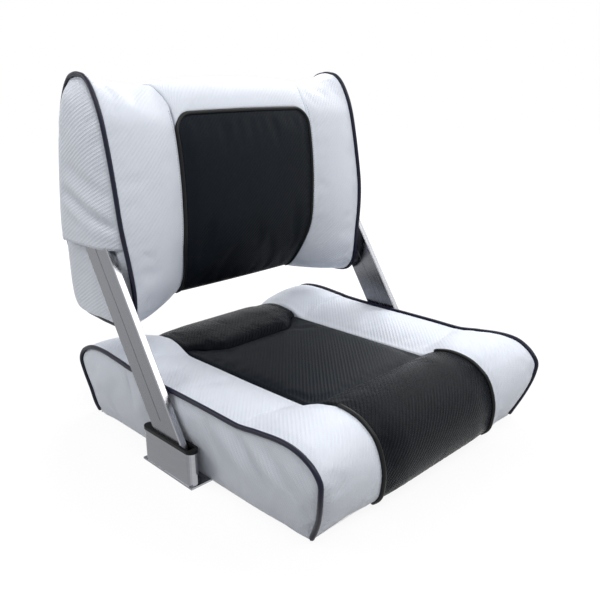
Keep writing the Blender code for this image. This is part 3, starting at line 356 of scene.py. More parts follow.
# Birch plywood, rotary cut: pale broad grain that runs along X on the faces.
def plywoodMaterial(name):
    made, node = newMaterial(name)
    place = node("TexCoord").outputs["Object"]
    stretched = node("Mapping", {"Vector": place, "Scale": (6.0, 60.0, 400.0)})
    grain = node("TexNoise", {"Vector": stretched, "Scale": 1.0, "Detail": 6.0, "Distortion": 0.6})
    tone = node("Mix", {0: grain, 6: linearColour("#b38f63"), 7: linearColour("#d3b68c")}, data_type="RGBA")
    bump = node("Bump", {"Height": grain, "Strength": 0.4, "Distance": 0.1 * mm})
    shader = node("BsdfPrincipled", {"Base Color": tone.outputs[2], "Roughness": 0.72, "Normal": bump})
    node("OutputMaterial", {0: shader})
    return made


whiteVinyl = vinylMaterial("white embossed vinyl", "#e0e5ef", "#d6dae3", 0.42, 1.25, 0.5, 0.03)
rollVinyl = vinylMaterial("black embossed vinyl, stretched", "#090c11", "#0f1319", 0.28, 4.0, 0.06, 0.04)
panelVinyl = vinylMaterial("black embossed vinyl", "#12161b", "#181c23", 0.42, 1.4, 0.06)
navyPiping = plainMaterial("navy vinyl piping", "#14162a", 0.36, 0.0, 900.0, 0.04 * mm, 0.2)
blackPiping = plainMaterial("black vinyl welt", "#0b0c0e", 0.36, 0.0, 900.0, 0.04 * mm, 0.2)
armLean = math.atan2(0.17203, 0.27703)  # the arm's reach to the rear and upwards, in m
# each metal's second, lighter colour is the painted reflection on faces turned away from X
armAluminium = aluminiumMaterial("brushed anodised aluminium", "#78797e", "#aeafb4", 0.24,
    (900.0, 900.0, 12.0), 0.005 * mm, 0.03, armLean)
polishedAluminium = aluminiumMaterial("polished aluminium", "#808186", "#a6a7ac", 0.10, (40.0, 40.0, 900.0),
    0.006 * mm, 0.22)
zincSteel = plainMaterial("zinc plated steel", "#b5b6b8", 0.30, 1.0)
blackRubber = plainMaterial("moulded black rubber", "#08090b", 0.42, 0.0, 700.0, specular=0.15)
blackNylon = plainMaterial("black nylon", "#161616", 0.45, 0.0, 500.0)
birchPlywood = plywoodMaterial("birch plywood")
# the thread's light grey, darker than the white vinyl, is partly painted shade: it stands in for the dimples
# the stitches sit in
stitchThread = plainMaterial("bonded thread", "#b4b7c0", 0.5, 0.0, 900.0)
print("materials made")


# seat cushion

seat = inMillimetres({
    "halfDepth": 246, "edgeHeight": 107, "width": 450, "baseWidth": 428.5, "frontTuck": 5, "farTuck": 4.5,
    "taperHeight": 85, "seamX": 117, "boardTop": 12, "bolsterCrown": 7, "seamRadius": 5.5,
    "edgeRadius": 4.2, "sideBulge": 3.0, "pipingRadius": 3.1, "weltRadius": 2.9, "padHeight": 95,
    "padCrown": 3, "rollFlat": 60, "overhang": 3.0, "weltStand": 0.8, "footRadius": 3, "rollLift": 1.0,
}) | {
    "columns": 150,
    # soft creases on the side panels: from y, z to y, z, half width and height, all in mm
    "creases": (
        (-112, 99, -172, 46, 6.5, -4.0), (-130, 100, -190, 52, 6.0, 3.2), (-84, 98, -140, 38, 8.0, 2.2),
        (-160, 100, -212, 60, 5.0, -2.4), (-178, 104, -222, 70, 4.5, 1.6), (-60, 92, -104, 30, 8.0, -1.6),
        (112, 96, 176, 40, 9.0, -1.6), (60, 90, 104, 34, 10.0, 1.2), (150, 104, 206, 56, 7.0, 1.2),
    ),
}
# from under the rear, over the top, to under the front: edge y, edge z, seam y, seam z,
# as shares of halfDepth and edgeHeight
seatOutline = np.array([
    (870, 0, 866, 0), (927, 131, 923, 131), (943, 374, 939, 355), (963, 617, 951, 561), (976, 748, 947, 692),
    (967, 841, 923, 794), (935, 930, 882, 860), (886, 995, 829, 916), (829, 1042, 772, 967),
    (748, 1065, 711, 1005), (663, 1065, 642, 1019), (581, 1050, 573, 991), (520, 1037, 520, 944),
    (476, 1028, 476, 902), (423, 1014, 423, 883), (207, 1000, 207, 883), (-37, 1000, -37, 879),
    (-280, 995, -280, 883), (-455, 986, -455, 888), (-512, 995, -512, 902), (-553, 1009, -549, 935),
    (-589, 1023, -581, 972), (-638, 1036, -622, 1012), (-707, 1056, -691, 1042), (-785, 1065, -764, 1031),
    (-854, 1047, -829, 991), (-911, 1000, -883, 916), (-957, 930, -921, 832), (-990, 822, -951, 696),
    (-989, 692, -970, 522), (-971, 508, -969, 346), (-936, 285, -949, 168), (-878, 0, -866, 0)]) / 1000
frontSeamRow = 21
frontInner = np.array([(-543, 869, -543, 860), (-553, 930, -555, 925)]) / 1000
frontMiddle = np.array([
    (-581, 977), (-626, 1023), (-699, 1061), (-776, 1051), (-846, 1000), (-902, 921), (-947, 813),
    (-976, 682), (-988, 514), (-982, 336), (-955, 159), (-862, 0)]) / 1000
# end y, end z, middle y, middle z: its ends curve back like a pillow's
rearRollOutline = np.array([
    (866, 0, 866, 0), (923, 131, 923, 131), (939, 355, 939, 355), (951, 561, 951, 561), (947, 692, 947, 692),
    (923, 794, 927, 785), (882, 860, 890, 855), (829, 916, 833, 925), (772, 967, 772, 986),
    (711, 992, 707, 1012), (654, 990, 642, 1026), (598, 976, 577, 1024), (549, 950, 488, 996),
    (526, 910, 411, 945), (522, 850, 380, 850)]) / 1000
seatScale = np.tile([seat["halfDepth"], seat["edgeHeight"]], 2)
seatRows = seatOutline * seatScale
seatSteps = evenSteps(seatRows, seat["columns"])
frontRows = np.vstack([frontInner, np.hstack([seatOutline[frontSeamRow:, 2:], frontMiddle])]) * seatScale
rearRows = rearRollOutline * seatScale


def seatLateral(line, side):  # how far out the side panel stands along a (y, z) line
    y, z = line.T
    ahead = -y / seat["halfDepth"]
    farTuck = seat["farTuck"] * smoothStep((ahead - 0.84) / 0.14) if side > 0 else 0.0
    drawnIn = (seat["width"] - seat["baseWidth"]) / 2 + seat["frontTuck"] * smoothStep(2 * ahead - 1)
    low = 1 - smoothStep(z / seat["taperHeight"])
    return seat["width"] / 2 - drawnIn * low - farTuck


def onBase(line, ends):  # carries a line's ends straight on to the underside
    for end in ends:
        inner = line[1 if end == 0 else -2].copy()
        line[end] = inner + (line[end] - inner) * inner[1] / max(inner[1] - line[end, 1], 1e-6)
    return line


def seatLine(share, offset):  # (y, z) line between the seam and the edge, raised by the offset
    both = curveThrough(seatRows, seatSteps)
    line = both[:, 2:] * (1 - share) + both[:, :2] * share
    raised = np.broadcast_to(offset, (len(line),)).copy()
    raised = np.where(raised > 0, raised * smoothStep(line[:, 1] / seat["edgeHeight"]), raised)
    return onBase(line - raised[:, None] * outwardOf(line), (0, -1))


def bolsterPiece(side, word):
    seamX, edgeRadius, seamRadius = seat["seamX"] + seamGap, seat["edgeRadius"], seat["seamRadius"]
    grid = []

    def addColumn(at, line):
        grid.append(np.stack([side * at, line[:, 0], line[:, 1]], axis=1))

    # across the top: the seam's soft roll, the crown, the roll down to the piping
    for d, turn in zip(endSteps(seamRadius), rollOffTurns):
        line = seatLine(0.0, -roundOff(d, seamRadius))
        front = smoothStep((-line[:, 0] / seat["halfDepth"] - 0.6) / 0.2) * smoothStep(line[:, 1] / (30 * mm))
        addColumn(seamX + d - seat["overhang"] * math.sin(2 * turn) * front, line)
    for share in stripShares[1:-1]:
        line = seatLine(share, seat["bolsterCrown"] * math.sin(math.pi * share) ** 0.6)
        outer = seatLateral(line, side) - edgeRadius - pipingSeat
        inner = seamX + seamRadius
        addColumn(inner + (outer - inner) * share, line)
    for d in endSteps(edgeRadius)[::-1]:
        line = seatLine(1.0, -roundOff(d, edgeRadius))
        addColumn(seatLateral(line, side) - d - pipingSeat, line)
    tops = len(grid)
    # down the side panel, from the piping to the underside
    edge = seatLine(1.0, 0.0)
    spread = lengthAlong(edge)
    footY = np.interp(spread / spread[-1], [0, 1], edge[[0, -1], 0])
    low = np.column_stack([footY, np.zeros(len(edge))])
    reach = np.maximum(np.linalg.norm(edge - low, axis=1), 1e-6)
    normal = outwardOf(edge) * np.minimum(1.0, reach / (12 * mm))[:, None]
    for d in endSteps(edgeRadius):
        line = edge + normal * (d + pipingSeat)
        at = seatLateral(line, side) - roundOff(d, edgeRadius)
        addColumn(at, np.maximum(line, (-1.0, 0.0)))
    start = edge + normal * (edgeRadius + pipingSeat)
    for share in stripShares[1:]:
        line = start + (low - start) * share
        swell = seat["sideBulge"] * math.sin(math.pi * share) ** 0.8 * smoothStep(reach / (60 * mm))
        at = seatLateral(line, side) + swell - roundOff((1 - share) * reach, seat["footRadius"])
        at = at + creased(line[:, 0], line[:, 1], seat["creases"]) * math.sin(math.pi * share) ** 0.4
        addColumn(at, np.maximum(line, (-1.0, 0.0)))
    # the underside and the inner wall, out of sight
    outerX = np.abs(grid[-1][:, 0])
    for share in (0.2, 0.5, 0.8, 1.0):
        addColumn(outerX + (seamX - outerX) * share, low)
    wallTop = grid[0][:, 1:]
    for share in (0.3, 0.65):
        addColumn(np.full(len(low), seamX), low + (wallTop - low) * share)
    grid = np.stack(grid, axis=1)
    topUv = stripUv(grid, seatRows, seatSteps)
    sideUv = turnedUv(grid[:, :, 1], grid[:, :, 2], 11)
    regions = [0] * (tops - 1) + [1] * (grid.shape[1] - tops + 1)
    return wrappedMesh(f"seat_{word}_bolster_cover", grid, (topUv, sideUv), regions)


def rollPiece(name, rows, blend, innerFirst, count):
    # a roll across the seat's middle; its inner wall stands in the seam with the pad
    both = curveThrough(rows, evenSteps(rows, count, 0.8))
    half, radius = seat["seamX"] - seamGap, seat["seamRadius"]
    grid, uvs = [], []
    for x in placesAcross(half, radius, middleColumns):
        share = blend(x)
        line = both[:, :2] * (1 - share) + both[:, 2:] * share
        drop = float(roundOff(half - abs(x), radius)) - seat["rollLift"]
        wall = 0 if innerFirst else -1
        moved = onBase(line + drop * outwardOf(line), (-1 - wall,))
        moved[wall, 0] = line[wall, 0]
        foot = np.array([[line[wall, 0], 0.0]])
        ring = np.vstack([foot, moved]) if innerFirst else np.vstack([moved, foot])
        length = lengthAlong(ring)
        under = np.linspace(ring[-1], ring[0], 8)[1:-1]
        length = np.concatenate([length, np.full(len(under), length[-1])])
        ring = np.vstack([ring, under])
        grid.append(atX(x, ring))
        uvs.append(atX(x, -length))
    return closedUp(wrappedMesh(name, np.stack(grid), (np.stack(uvs),)))


def rearBlend(x):  # 1 where the roll has its middle outline, 0 at its ends
    span = seat["seamX"] - 5 * mm - seat["rollFlat"]
    return float(1 - smoothStep((abs(x) - seat["rollFlat"]) / span))


def frontBlend(x):
    return float(1 - smoothStep((abs(x) / seat["seamX"] - 0.6) / 0.4))


def centrePad():
    half, radius = seat["seamX"] - seamGap, seat["seamRadius"]
    ends = endSteps(radius)
    frontY = frontRows[0, 0] + seamGap
    low = seat["boardTop"] + 0.5 * mm
    grid = []
    for x in placesAcross(half, radius, middleColumns):
        blend = rearBlend(x)
        rearY = rearRows[-1, 0] * (1 - blend) + rearRows[-1, 2] * blend - seamGap
        ys = np.concatenate([frontY + ends, np.linspace(frontY + radius, rearY - radius, 50)[1:-1],
            (rearY - ends)[::-1]])
        share = (ys - frontY) / (rearY - frontY)
        swell = seat["padCrown"] * (1 - (x / seat["seamX"]) ** 2) * 4 * share * (1 - share)
        drop = roundOff(np.minimum(half - abs(x), np.minimum(ys - frontY, rearY - ys)), radius)
        top = np.column_stack([ys, seat["padHeight"] + swell - drop])
        under = np.column_stack([np.linspace(rearY, frontY, 6), np.full(6, low)])
        grid.append(atX(x, np.vstack([top, under])))
    grid = np.stack(grid)
    return closedUp(wrappedMesh("seat_pad_cover", grid, (grid[:, :, :2],)))


def cordMesh(name, path, radius, closed=False, sides=14):
    # a round cord with domed ends, carried along the path without twist
    path = np.asarray(path, float)
    if closed:
        along = np.roll(path, -1, axis=0) - np.roll(path, 1, axis=0)
    else:
        along = np.gradient(path, axis=0)
    along /= np.linalg.norm(along, axis=1, keepdims=True)
    sideways = np.cross(along[0], (1.0, 0.0, 0.0))
    frames = []
    for tangent in along:
        sideways = sideways - tangent * np.dot(sideways, tangent)
        sideways /= np.linalg.norm(sideways)
        frames.append((sideways.copy(), np.cross(tangent, sideways)))
    turns = np.linspace(0, 2 * math.pi, sides, endpoint=False)
    rings = [(path[i], frames[i], radius) for i in range(len(path))]
    if not closed:
        for end, sign in ((0, -1), (-1, 1)):
            dome = [(path[end] + sign * along[end] * radius * math.sin(a), frames[end],
                radius * math.cos(a)) for a in np.radians([25, 50, 70, 85])]
            rings = dome[::-1] + rings if end == 0 else rings + dome
    grid = np.array([[p + r * (math.cos(a) * f[0] + math.sin(a) * f[1]) for a in turns] for p, f, r in rings])
    if closed:
        grid = np.vstack([grid, grid[:1]])
    uv = np.stack(np.meshgrid(lengthAlong(grid[:, 0]), turns * radius, indexing="ij"), axis=2)
    made = wrappedMesh(name, grid, (uv,))
    return made if closed else closedUp(made)


stitch = {"Spacing": 3.5 * mm, "Length": 1.25 * mm, "Thickness": 0.46 * mm, "Uneven": 0.18, "Seed": 5}
stitchPaths = {"base": [], "backrest": []}


def stitchRows(name, paths, body, look):
    points, edges = [], []
    for path in paths:
        edges += [(len(points) + i, len(points) + i + 1) for i in range(len(path) - 1)]
        points += [tuple(place) for place in path]
    mesh = bpy.data.meshes.new(name)
    mesh.from_pydata(points, edges, [])
    made = newObject(name, mesh)
    tree = bpy.data.node_groups.new(name, "GeometryNodeTree")
    kinds = {"Geometry": "Geometry", "Seed": "Int", "Look": "Material"}
    inputs = {}
    for label in ("Geometry", *stitch, "Look"):
        kind = "NodeSocket" + kinds.get(label, "Float")
        inputs[label] = tree.interface.new_socket(name=label, in_out="INPUT", socket_type=kind).identifier
    tree.interface.new_socket(name="Geometry", in_out="OUTPUT", socket_type="NodeSocketGeometry")
    node = partial(addNode, tree)
    given = node("NodeGroupInput").outputs
    curve = node("GeometryNodeMeshToCurve", {0: given["Geometry"]})
    spaced = node("GeometryNodeResampleCurve", {"Curve": curve, "Length": given["Spacing"]}, mode="LENGTH")
    low = node("Math", {0: 1.0, 1: given["Uneven"]}, operation="SUBTRACT")
    high = node("Math", {0: 1.0, 1: given["Uneven"]}, operation="ADD")
    chance = node("FunctionNodeRandomValue", {2: low, 3: high, "Seed": given["Seed"]})
    length = node("Math", {0: given["Length"], 1: chance.outputs[1]}, operation="MULTIPLY")
    size = node("CombineXYZ", {0: given["Thickness"], 1: given["Thickness"], 2: length})
    tangent = node("GeometryNodeInputTangent")
    turned = node("FunctionNodeAlignEulerToVector", {"Vector": tangent}, axis="Z")
    bead = node("GeometryNodeMeshUVSphere", {"Segments": 8, "Rings": 6, "Radius": 1.0})
    placed = node("GeometryNodeInstanceOnPoints", {"Points": spaced, "Instance": bead, "Rotation": turned,
        "Scale": size})
    real = node("GeometryNodeRealizeInstances", {0: placed})
    dressed = node("GeometryNodeSetMaterial", {"Geometry": real, "Material": given["Look"]})
    node("NodeGroupOutput", {0: dressed})
    run = made.modifiers.new("stitches", "NODES")
    run.node_group = tree
    for label, value in (*stitch.items(), ("Look", look)):
        run[inputs[label]] = value
    graph = bpy.context.evaluated_depsgraph_get()
    made.data = bpy.data.meshes.new_from_object(made.evaluated_get(graph))
    made.modifiers.clear()
    bpy.data.meshes.remove(mesh)
    made.data.name = name
    made.data.shade_smooth()
    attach(made, body)


def aboveBase(line, low):  # the stretch of a (y, z) line above a height
    return line[line[:, 1] > low]


def heldBelow(value, start, width):  # 1 up to the start, and 0 beyond the width after it, both in mm
    return 1 - smoothStep((value - start * mm) / (width * mm))


def bolsterHeld(edgePath):
    def held(points):
        x, y, z = np.abs(points[:, 0]), points[:, 1], points[:, 2]
        inBracket = heldBelow(z, 70, 10) * heldBelow(np.abs(y), 63, 12) * heldBelow(-x, -216, 4)
        seams = (heldBelow(x - seat["seamX"], 5, 8), heldBelow(z, 4, 10), inBracket)
        return np.maximum.reduce([heldNear(points, edgePath, 9 * mm), *seams])
    return held


def middleHeld(points, wallY):
    x, y, z = np.abs(points[:, 0]), points[:, 1], points[:, 2]
    walls = [heldBelow(np.abs(y - place), 3, 8) for place in wallY]
    return np.maximum.reduce([heldBelow(seat["seamX"] - x, 4, 8), heldBelow(z, 6, 10), *walls])


for side, word in ((-1, "left"), (1, "right")):
    edge = aboveBase(seatLine(1.0, 0.0), 1.5 * mm)
    path = np.column_stack([side * seatLateral(edge, side), edge])
    cover = settled(bolsterPiece(side, word), bolsterHeld(path), 3.0 * mm, 0.007)
    finishPiece(cover, whiteVinyl, "base", f"seat_{word}_bolster")
    finishPiece(cordMesh(f"seat_{word}_edge_piping", path, seat["pipingRadius"]), navyPiping, "base",
        f"seat_{word}_piping")
    first = frontSeamRow + (2.2 if side < 0 else 0.3)
    onRoll = curveThrough(seatRows, seatSteps[seatSteps > first])[:, 2:]
    onRoll = aboveBase(onRoll - seat["weltStand"] * outwardOf(onRoll), 6 * mm)
    path = atX(side * seat["seamX"], onRoll)
    finishPiece(cordMesh(f"seat_{word}_roll_welt", path, seat["weltRadius"]), blackPiping, "base",
        f"seat_{word}_front_welt")
    stitched = aboveBase(seatLine(0.0, -0.25 * mm)[seatSteps > frontSeamRow + 1.5], 10 * mm)
    row = side * (seat["seamX"] + seat["seamRadius"] + seamGap)
    stitchPaths["base"].append(atX(row, stitched))
rearRoll = rollPiece("seat_rear_roll_cover", rearRows, rearBlend, False, 60)
frontRoll = rollPiece("seat_front_roll_cover", frontRows, frontBlend, True, 70)
pad = centrePad()
padEnds = (frontRows[0, 0], rearRows[-1, 0], rearRows[-1, 2])
settled(rearRoll, lambda points: middleHeld(points, padEnds[1:]), 2.2 * mm, 0.006)
settled(frontRoll, lambda points: middleHeld(points, padEnds[:1]), 1.2 * mm, 0.002)
settled(pad, lambda points: middleHeld(points, padEnds), 2.2 * mm, 0.008)
finishPiece(rearRoll, rollVinyl, "base", "seat_rear_roll")
finishPiece(frontRoll, rollVinyl, "base", "seat_front_roll")
finishPiece(pad, panelVinyl, "base", "seat_centre_pad")
stitchRows("seat_seam_stitches", stitchPaths["base"], "base", stitchThread)
print("seat cushion made")


# backrest

back = inMillimetres({
    "barY": 165.53, "barZ": 315.03, "aboveBar": 169.5, "footHeight": 160.5, "halfDepth": 80, "width": 460,
    "footWidth": 438, "taperTop": 3, "taperHeight": 118, "middleWidth": 248, "middleFootWidth": 224,
    "middleTopWidth": 264, "narrowingTop": -50, "narrowingHeight": 80, "flareStart": 125, "flareHeight": 35,
    "crown": 8, "panelCrown": 4, "panelTop": 118, "panelCorner": 25, "skin": 5, "flapOuterX": 245.5,
    "hemBelowBar": 44, "armInnerX": 230.5, "seamRadius": 5, "edgeRadius": 4.2, "weltRadius": 2.8,
    "pipingRadius": 3.1, "frontDome": 50, "rearDome": 30, "flapSkin": 1.8, "hemGroove": 0.9, "hemWidth": 8,
    "hemRound": 0.9, "pipingTuck": 2.0, "topFullness": 3.0, "panelLift": 1.0, "sideBulge": 8,
    "armRoom": 1.2, "flapSetback": 1.4, "foldRoom": 3,
}) | {
    "rows": 96, "domePower": 2.5, "topSeamSoftness": 0.6,
    # soft creases on the flaps: from y, z to y, z, half width and height, all in mm
    "creases": (
        (206, 342, 84, 292, 5.5, -5.0), (212, 326, 92, 280, 5.0, 3.0), (200, 358, 90, 308, 6.0, 2.6),
        (176, 316, 88, 276, 4.0, -2.4), (196, 378, 96, 336, 7.0, -1.8), (98, 446, 136, 424, 4.0, -1.4),
        (93, 414, 130, 398, 4.5, -1.3), (89, 378, 124, 364, 4.5, -1.2), (86, 350, 116, 334, 4.0, -1.2),
        (232, 424, 176, 404, 8.0, -1.0),
    ),
}
# half outline from the top to the bottom: edge depth, edge height, seam depth, seam height,
# depths as shares of halfDepth, heights of the whole height
backOutline = np.array([
    (0, 1001, 0, 959), (90, 999, 90, 957), (250, 989, 250, 951), (412, 955, 412, 924), (562, 894, 575, 877),
    (675, 823, 700, 813), (775, 721, 781, 727), (863, 606, 838, 606), (938, 486, 856, 486),
    (988, 353, 831, 344), (1000, 245, 725, 239), (988, 122, 550, 144), (900, 45, 362, 85), (650, 5, 175, 65),
    (0, 0, 0, 62)]) / 1000
backHeight = back["barZ"] + back["aboveBar"] - back["footHeight"]
backRows = backOutline * np.tile([back["halfDepth"], backHeight], 2) + np.tile([0.0, back["footHeight"]], 2)
backSteps = evenSteps(backRows, back["rows"])


def onBack(x, depth, z):  # depth is behind the bar's plane
    return np.column_stack([x, back["barY"] + depth, z])


def backLateral(z):
    drawnIn = (back["width"] - back["footWidth"]) / 2
    share = (back["barZ"] + back["taperTop"] - np.asarray(z)) / back["taperHeight"]
    return back["width"] / 2 - drawnIn * smoothStep(share)


def backSeam(z):
    z = np.asarray(z)
    half = back["middleWidth"] / 2
    narrow = (back["middleWidth"] - back["middleFootWidth"]) / 2
    flare = (back["middleTopWidth"] - back["middleWidth"]) / 2
    half = half - narrow * smoothStep((back["barZ"] + back["narrowingTop"] - z) / back["narrowingHeight"])
    return half + flare * smoothStep((z - back["barZ"] - back["flareStart"]) / back["flareHeight"])


def backLine(share, offset):  # (depth, height) line from the top down the half outline
    both = curveThrough(backRows, backSteps)
    half = both[:, 2:] * (1 - share) + both[:, :2] * share
    moved = half + np.broadcast_to(offset, (len(half),))[:, None] * outwardOf(half)
    moved[[0, -1], 0] = 0.0
    moved[:, 0] = np.maximum(moved[:, 0], 0.0)
    return moved


def backSwell(z):  # the wings' crown grows from the foot and sinks in below the top
    height = (z - back["footHeight"]) / backHeight
    return smoothStep(height / 0.2) * (1 - 1.6 * smoothStep((height - 0.80) / 0.15))


def wingPiece(side, word):
    seamRadius, edgeRadius = back["seamRadius"], back["edgeRadius"]
    seamZ = backLine(0.0, 0.0)[:, 1]
    shallow = 1 - back["topSeamSoftness"] * smoothStep((seamZ - back["barZ"] - back["panelTop"]) / (12 * mm))
    swell = backSwell(backLine(0.5, 0.0)[:, 1])
    half = []  # (x, depth and height) of the front half, from the seam to the side panel's middle
    for d in endSteps(seamRadius):
        line = backLine(0.0, -roundOff(d, seamRadius) * shallow)
        half.append((backSeam(line[:, 1]) + seamGap + d, line))
    for share in stripShares[1:-1]:
        line = backLine(share, back["crown"] * math.sin(math.pi * share) ** 0.75 * swell)
        low = 1 - smoothStep((line[:, 1] - back["footHeight"]) / (45 * mm))
        line = line + (backLine(share ** 0.7, 0.0) - line) * low[:, None]
        line[:, 1] = np.maximum(line[:, 1], back["footHeight"])
        inner = backSeam(line[:, 1]) + seamGap + seamRadius
        outer = backLateral(line[:, 1]) - edgeRadius - pipingSeat
        half.append((inner + (outer - inner) * share, line))
    for d in endSteps(edgeRadius)[::-1]:
        line = backLine(1.0, -roundOff(d, edgeRadius))
        half.append((backLateral(line[:, 1]) - d - pipingSeat, line))
    tops = len(half)
    for d in endSteps(edgeRadius):
        line = backLine(1.0, -d - pipingSeat)
        half.append((backLateral(line[:, 1]) - roundOff(d, edgeRadius), line))
    start = backLine(1.0, -edgeRadius - pipingSeat)
    limit = back["armInnerX"] - back["armRoom"]
    for share in np.linspace(0, 1, 11)[1:]:
        line = start * (1 - share, 1.0)
        bulge = back["sideBulge"] * smoothStep(share * 5) * smoothStep(start[:, 0] / (40 * mm))
        half.append((np.minimum(backLateral(line[:, 1]) + bulge, limit), line))
    grid = [onBack(side * x, -line[:, 0], line[:, 1]) for x, line in half]
    for number in range(len(half) - 2, -1, -1):
        x, line = half[number]
        if number >= tops:
            full = smoothStep((number - tops + 1) / 7) * smoothStep(line[:, 0] / (12 * mm))
            x = x + np.maximum(limit - 1 * mm - x, 0.0) * full
        grid.append(onBack(side * x, line[:, 0], line[:, 1]))
    grid = np.stack(grid, axis=1)
    faceUv = stripUv(grid, backRows, backSteps)
    sideUv = turnedUv(-grid[:, :, 1], grid[:, :, 2], -15)
    regions = [0] * (tops - 1) + [1] * (grid.shape[1] - 2 * tops + 1) + [0] * tops
    return wrappedMesh(f"back_{word}_wing_cover", grid, (faceUv, sideUv), regions)


def flapPiece(side, word):
    # the side panel over the arm's top: a soft dome with a turned hem
    hemZ = back["barZ"] - back["hemBelowBar"]
    edge = backLine(1.0, -back["edgeRadius"] - back["flapSetback"])
    edge = np.vstack([edge[edge[:, 1] > hemZ], [[np.interp(-hemZ, -edge[:, 1], edge[:, 0]), hemZ]]])
    width, z = edge[:, 0], edge[:, 1]
    base = np.minimum(backLateral(z), back["armInnerX"] - back["armRoom"]) + 0.5 * mm
    rise = back["flapOuterX"] - base
    groove = back["hemGroove"] * np.exp(-((z - hemZ - back["hemWidth"]) / (1.3 * mm)) ** 2)
    turnedIn = roundOff(z - hemZ, back["hemRound"])
    lifts = []
    for share in 1 - np.cos(np.linspace(0, math.pi / 2, 30)):
        depth = width * (1 - share)
        away = np.hypot(depth[:, None] - width, z[:, None] - z).min(axis=1)
        domes = [np.clip(away / reach, 0, 1) for reach in (back["frontDome"], back["rearDome"])]
        lifts.append((depth, [rise * (1 - (1 - dome) ** back["domePower"]) for dome in domes]))
    outside, inside = [], []
    for facing, columns in ((-1, lifts), (1, lifts[-2::-1])):
        for depth, (front, rear) in columns:
            lift = front + (rear - front) * smoothStep(0.5 + facing * depth / (20 * mm))
            y = back["barY"] + facing * depth
            soft = smoothStep(lift / (6 * mm))
            folds = creased(y, z, back["creases"]) - groove
            skin = lift + soft * folds - np.minimum(turnedIn, lift * 0.5)
            skin = np.minimum(skin, rise + back["foldRoom"])
            under = np.maximum(lift - back["flapSkin"] * (0.7 + 0.3 * soft), -seamGap)
            outside.append(np.stack([side * (base + skin), y, z], axis=1))
            inside.append(np.stack([side * (base + np.minimum(under, skin - 0.4 * mm)), y, z], axis=1))
    grid = np.stack(outside + inside[::-1], axis=1)
    uv = turnedUv(-grid[:, :, 1], grid[:, :, 2], -15)
    return wrappedMesh(f"back_{word}_flap_cover", grid, (uv,), capEnds=True)


denseBackRows = np.linspace(0, len(backRows) - 1, 60 * len(backRows))
denseBackSeam = curveThrough(backRows, denseBackRows)[:, 2:]
denseBackNormal = outwardOf(denseBackSeam)


def rowAtHeight(z):
    return np.interp(-np.asarray(z), -denseBackSeam[:, 1], denseBackRows)


def middleSurface(x, rows, lift):  # x is the place across at full width
    at = np.array([np.interp(rows, denseBackRows, denseBackSeam[:, i]) for i in (0, 1)])
    out = np.array([np.interp(rows, denseBackRows, denseBackNormal[:, i]) for i in (0, 1)])
    crown = back["panelCrown"] * (1 - (x / (back["middleWidth"] / 2)) ** 2)
    crown = crown * smoothStep((at[1] - back["footHeight"]) / back["narrowingHeight"])
    depth, z = at + (crown + lift) * out
    return x * backSeam(z) / (back["middleWidth"] / 2), np.maximum(depth, 0.0), z


def panelTopAt(x):
    past = max(abs(x) - (back["middleWidth"] / 2 - back["panelCorner"]), 0.0)
    corner = back["panelCorner"]
    return back["barZ"] + back["panelTop"] - corner + math.sqrt(max(corner**2 - past**2, 0.0))


def panelInset(x, z):
    half, corner = back["middleWidth"] / 2, back["panelCorner"]
    overX = abs(x) - (half - corner)
    overZ = z - (back["barZ"] + back["panelTop"] - corner)
    inCorner = corner - np.hypot(np.maximum(overX, 0), np.maximum(overZ, 0))
    return np.where((overX > 0) & (overZ > 0), inCorner, np.minimum(half - abs(x), corner - overZ))


def panelCover(name, facing, rowsAt, insetAt, innerOf):
    # one of the middle's three covers: facing is -1 in front, 1 behind and 0 over the top
    half, radius = back["middleWidth"] / 2, back["seamRadius"]
    grid, uvs = [], []
    for x in placesAcross(half - seamGap, radius, panelColumns):
        rows = rowsAt(x)
        z = np.interp(rows, denseBackRows, denseBackSeam[:, 1])
        across, depth, height = middleSurface(x, rows, back["panelLift"] + insetAt(x, z))
        depth[-1] = 0.0
        outside = onBack(across, (facing or -1) * depth, height)
        if not facing:
            outside = np.vstack([outside, onBack(across, depth, height)[-2::-1]])
        length = lengthAlong(outside)
        grid.append(np.vstack([outside, innerOf(outside, depth)[::-1]]))
        uvs.append(atX(x, (-1 if facing else 1) * np.concatenate([length, length[::-1]])))
    return wrappedMesh(name, np.stack(grid), (np.stack(uvs),), capEnds=True)


def panelPiece(facing, name):
    radius = back["seamRadius"]

    def rowsAt(x):
        topZ = panelTopAt(x) - seamGap
        first = rowAtHeight(topZ - radius)
        return np.concatenate([rowAtHeight(topZ - endSteps(radius)),
            np.linspace(first, len(backRows) - 1, 56)[1:]])

    def insetAt(x, z):
        inset = np.minimum(panelInset(x, z), panelTopAt(x) - z)
        inset = np.where(z < back["barZ"], np.minimum(back["middleWidth"] / 2 - abs(x), 1.0), inset)
        return -roundOff(np.maximum(inset, 0.0), radius)

    def innerOf(outside, depth):
        innerDepth = np.maximum(depth - back["skin"], 0.0)
        low = outside[-1, 2] + np.minimum(back["skin"], depth + 0.2 * mm)
        return onBack(outside[:, 0], facing * innerDepth, np.maximum(outside[:, 2], low))

    return panelCover(name, facing, rowsAt, insetAt, innerOf)


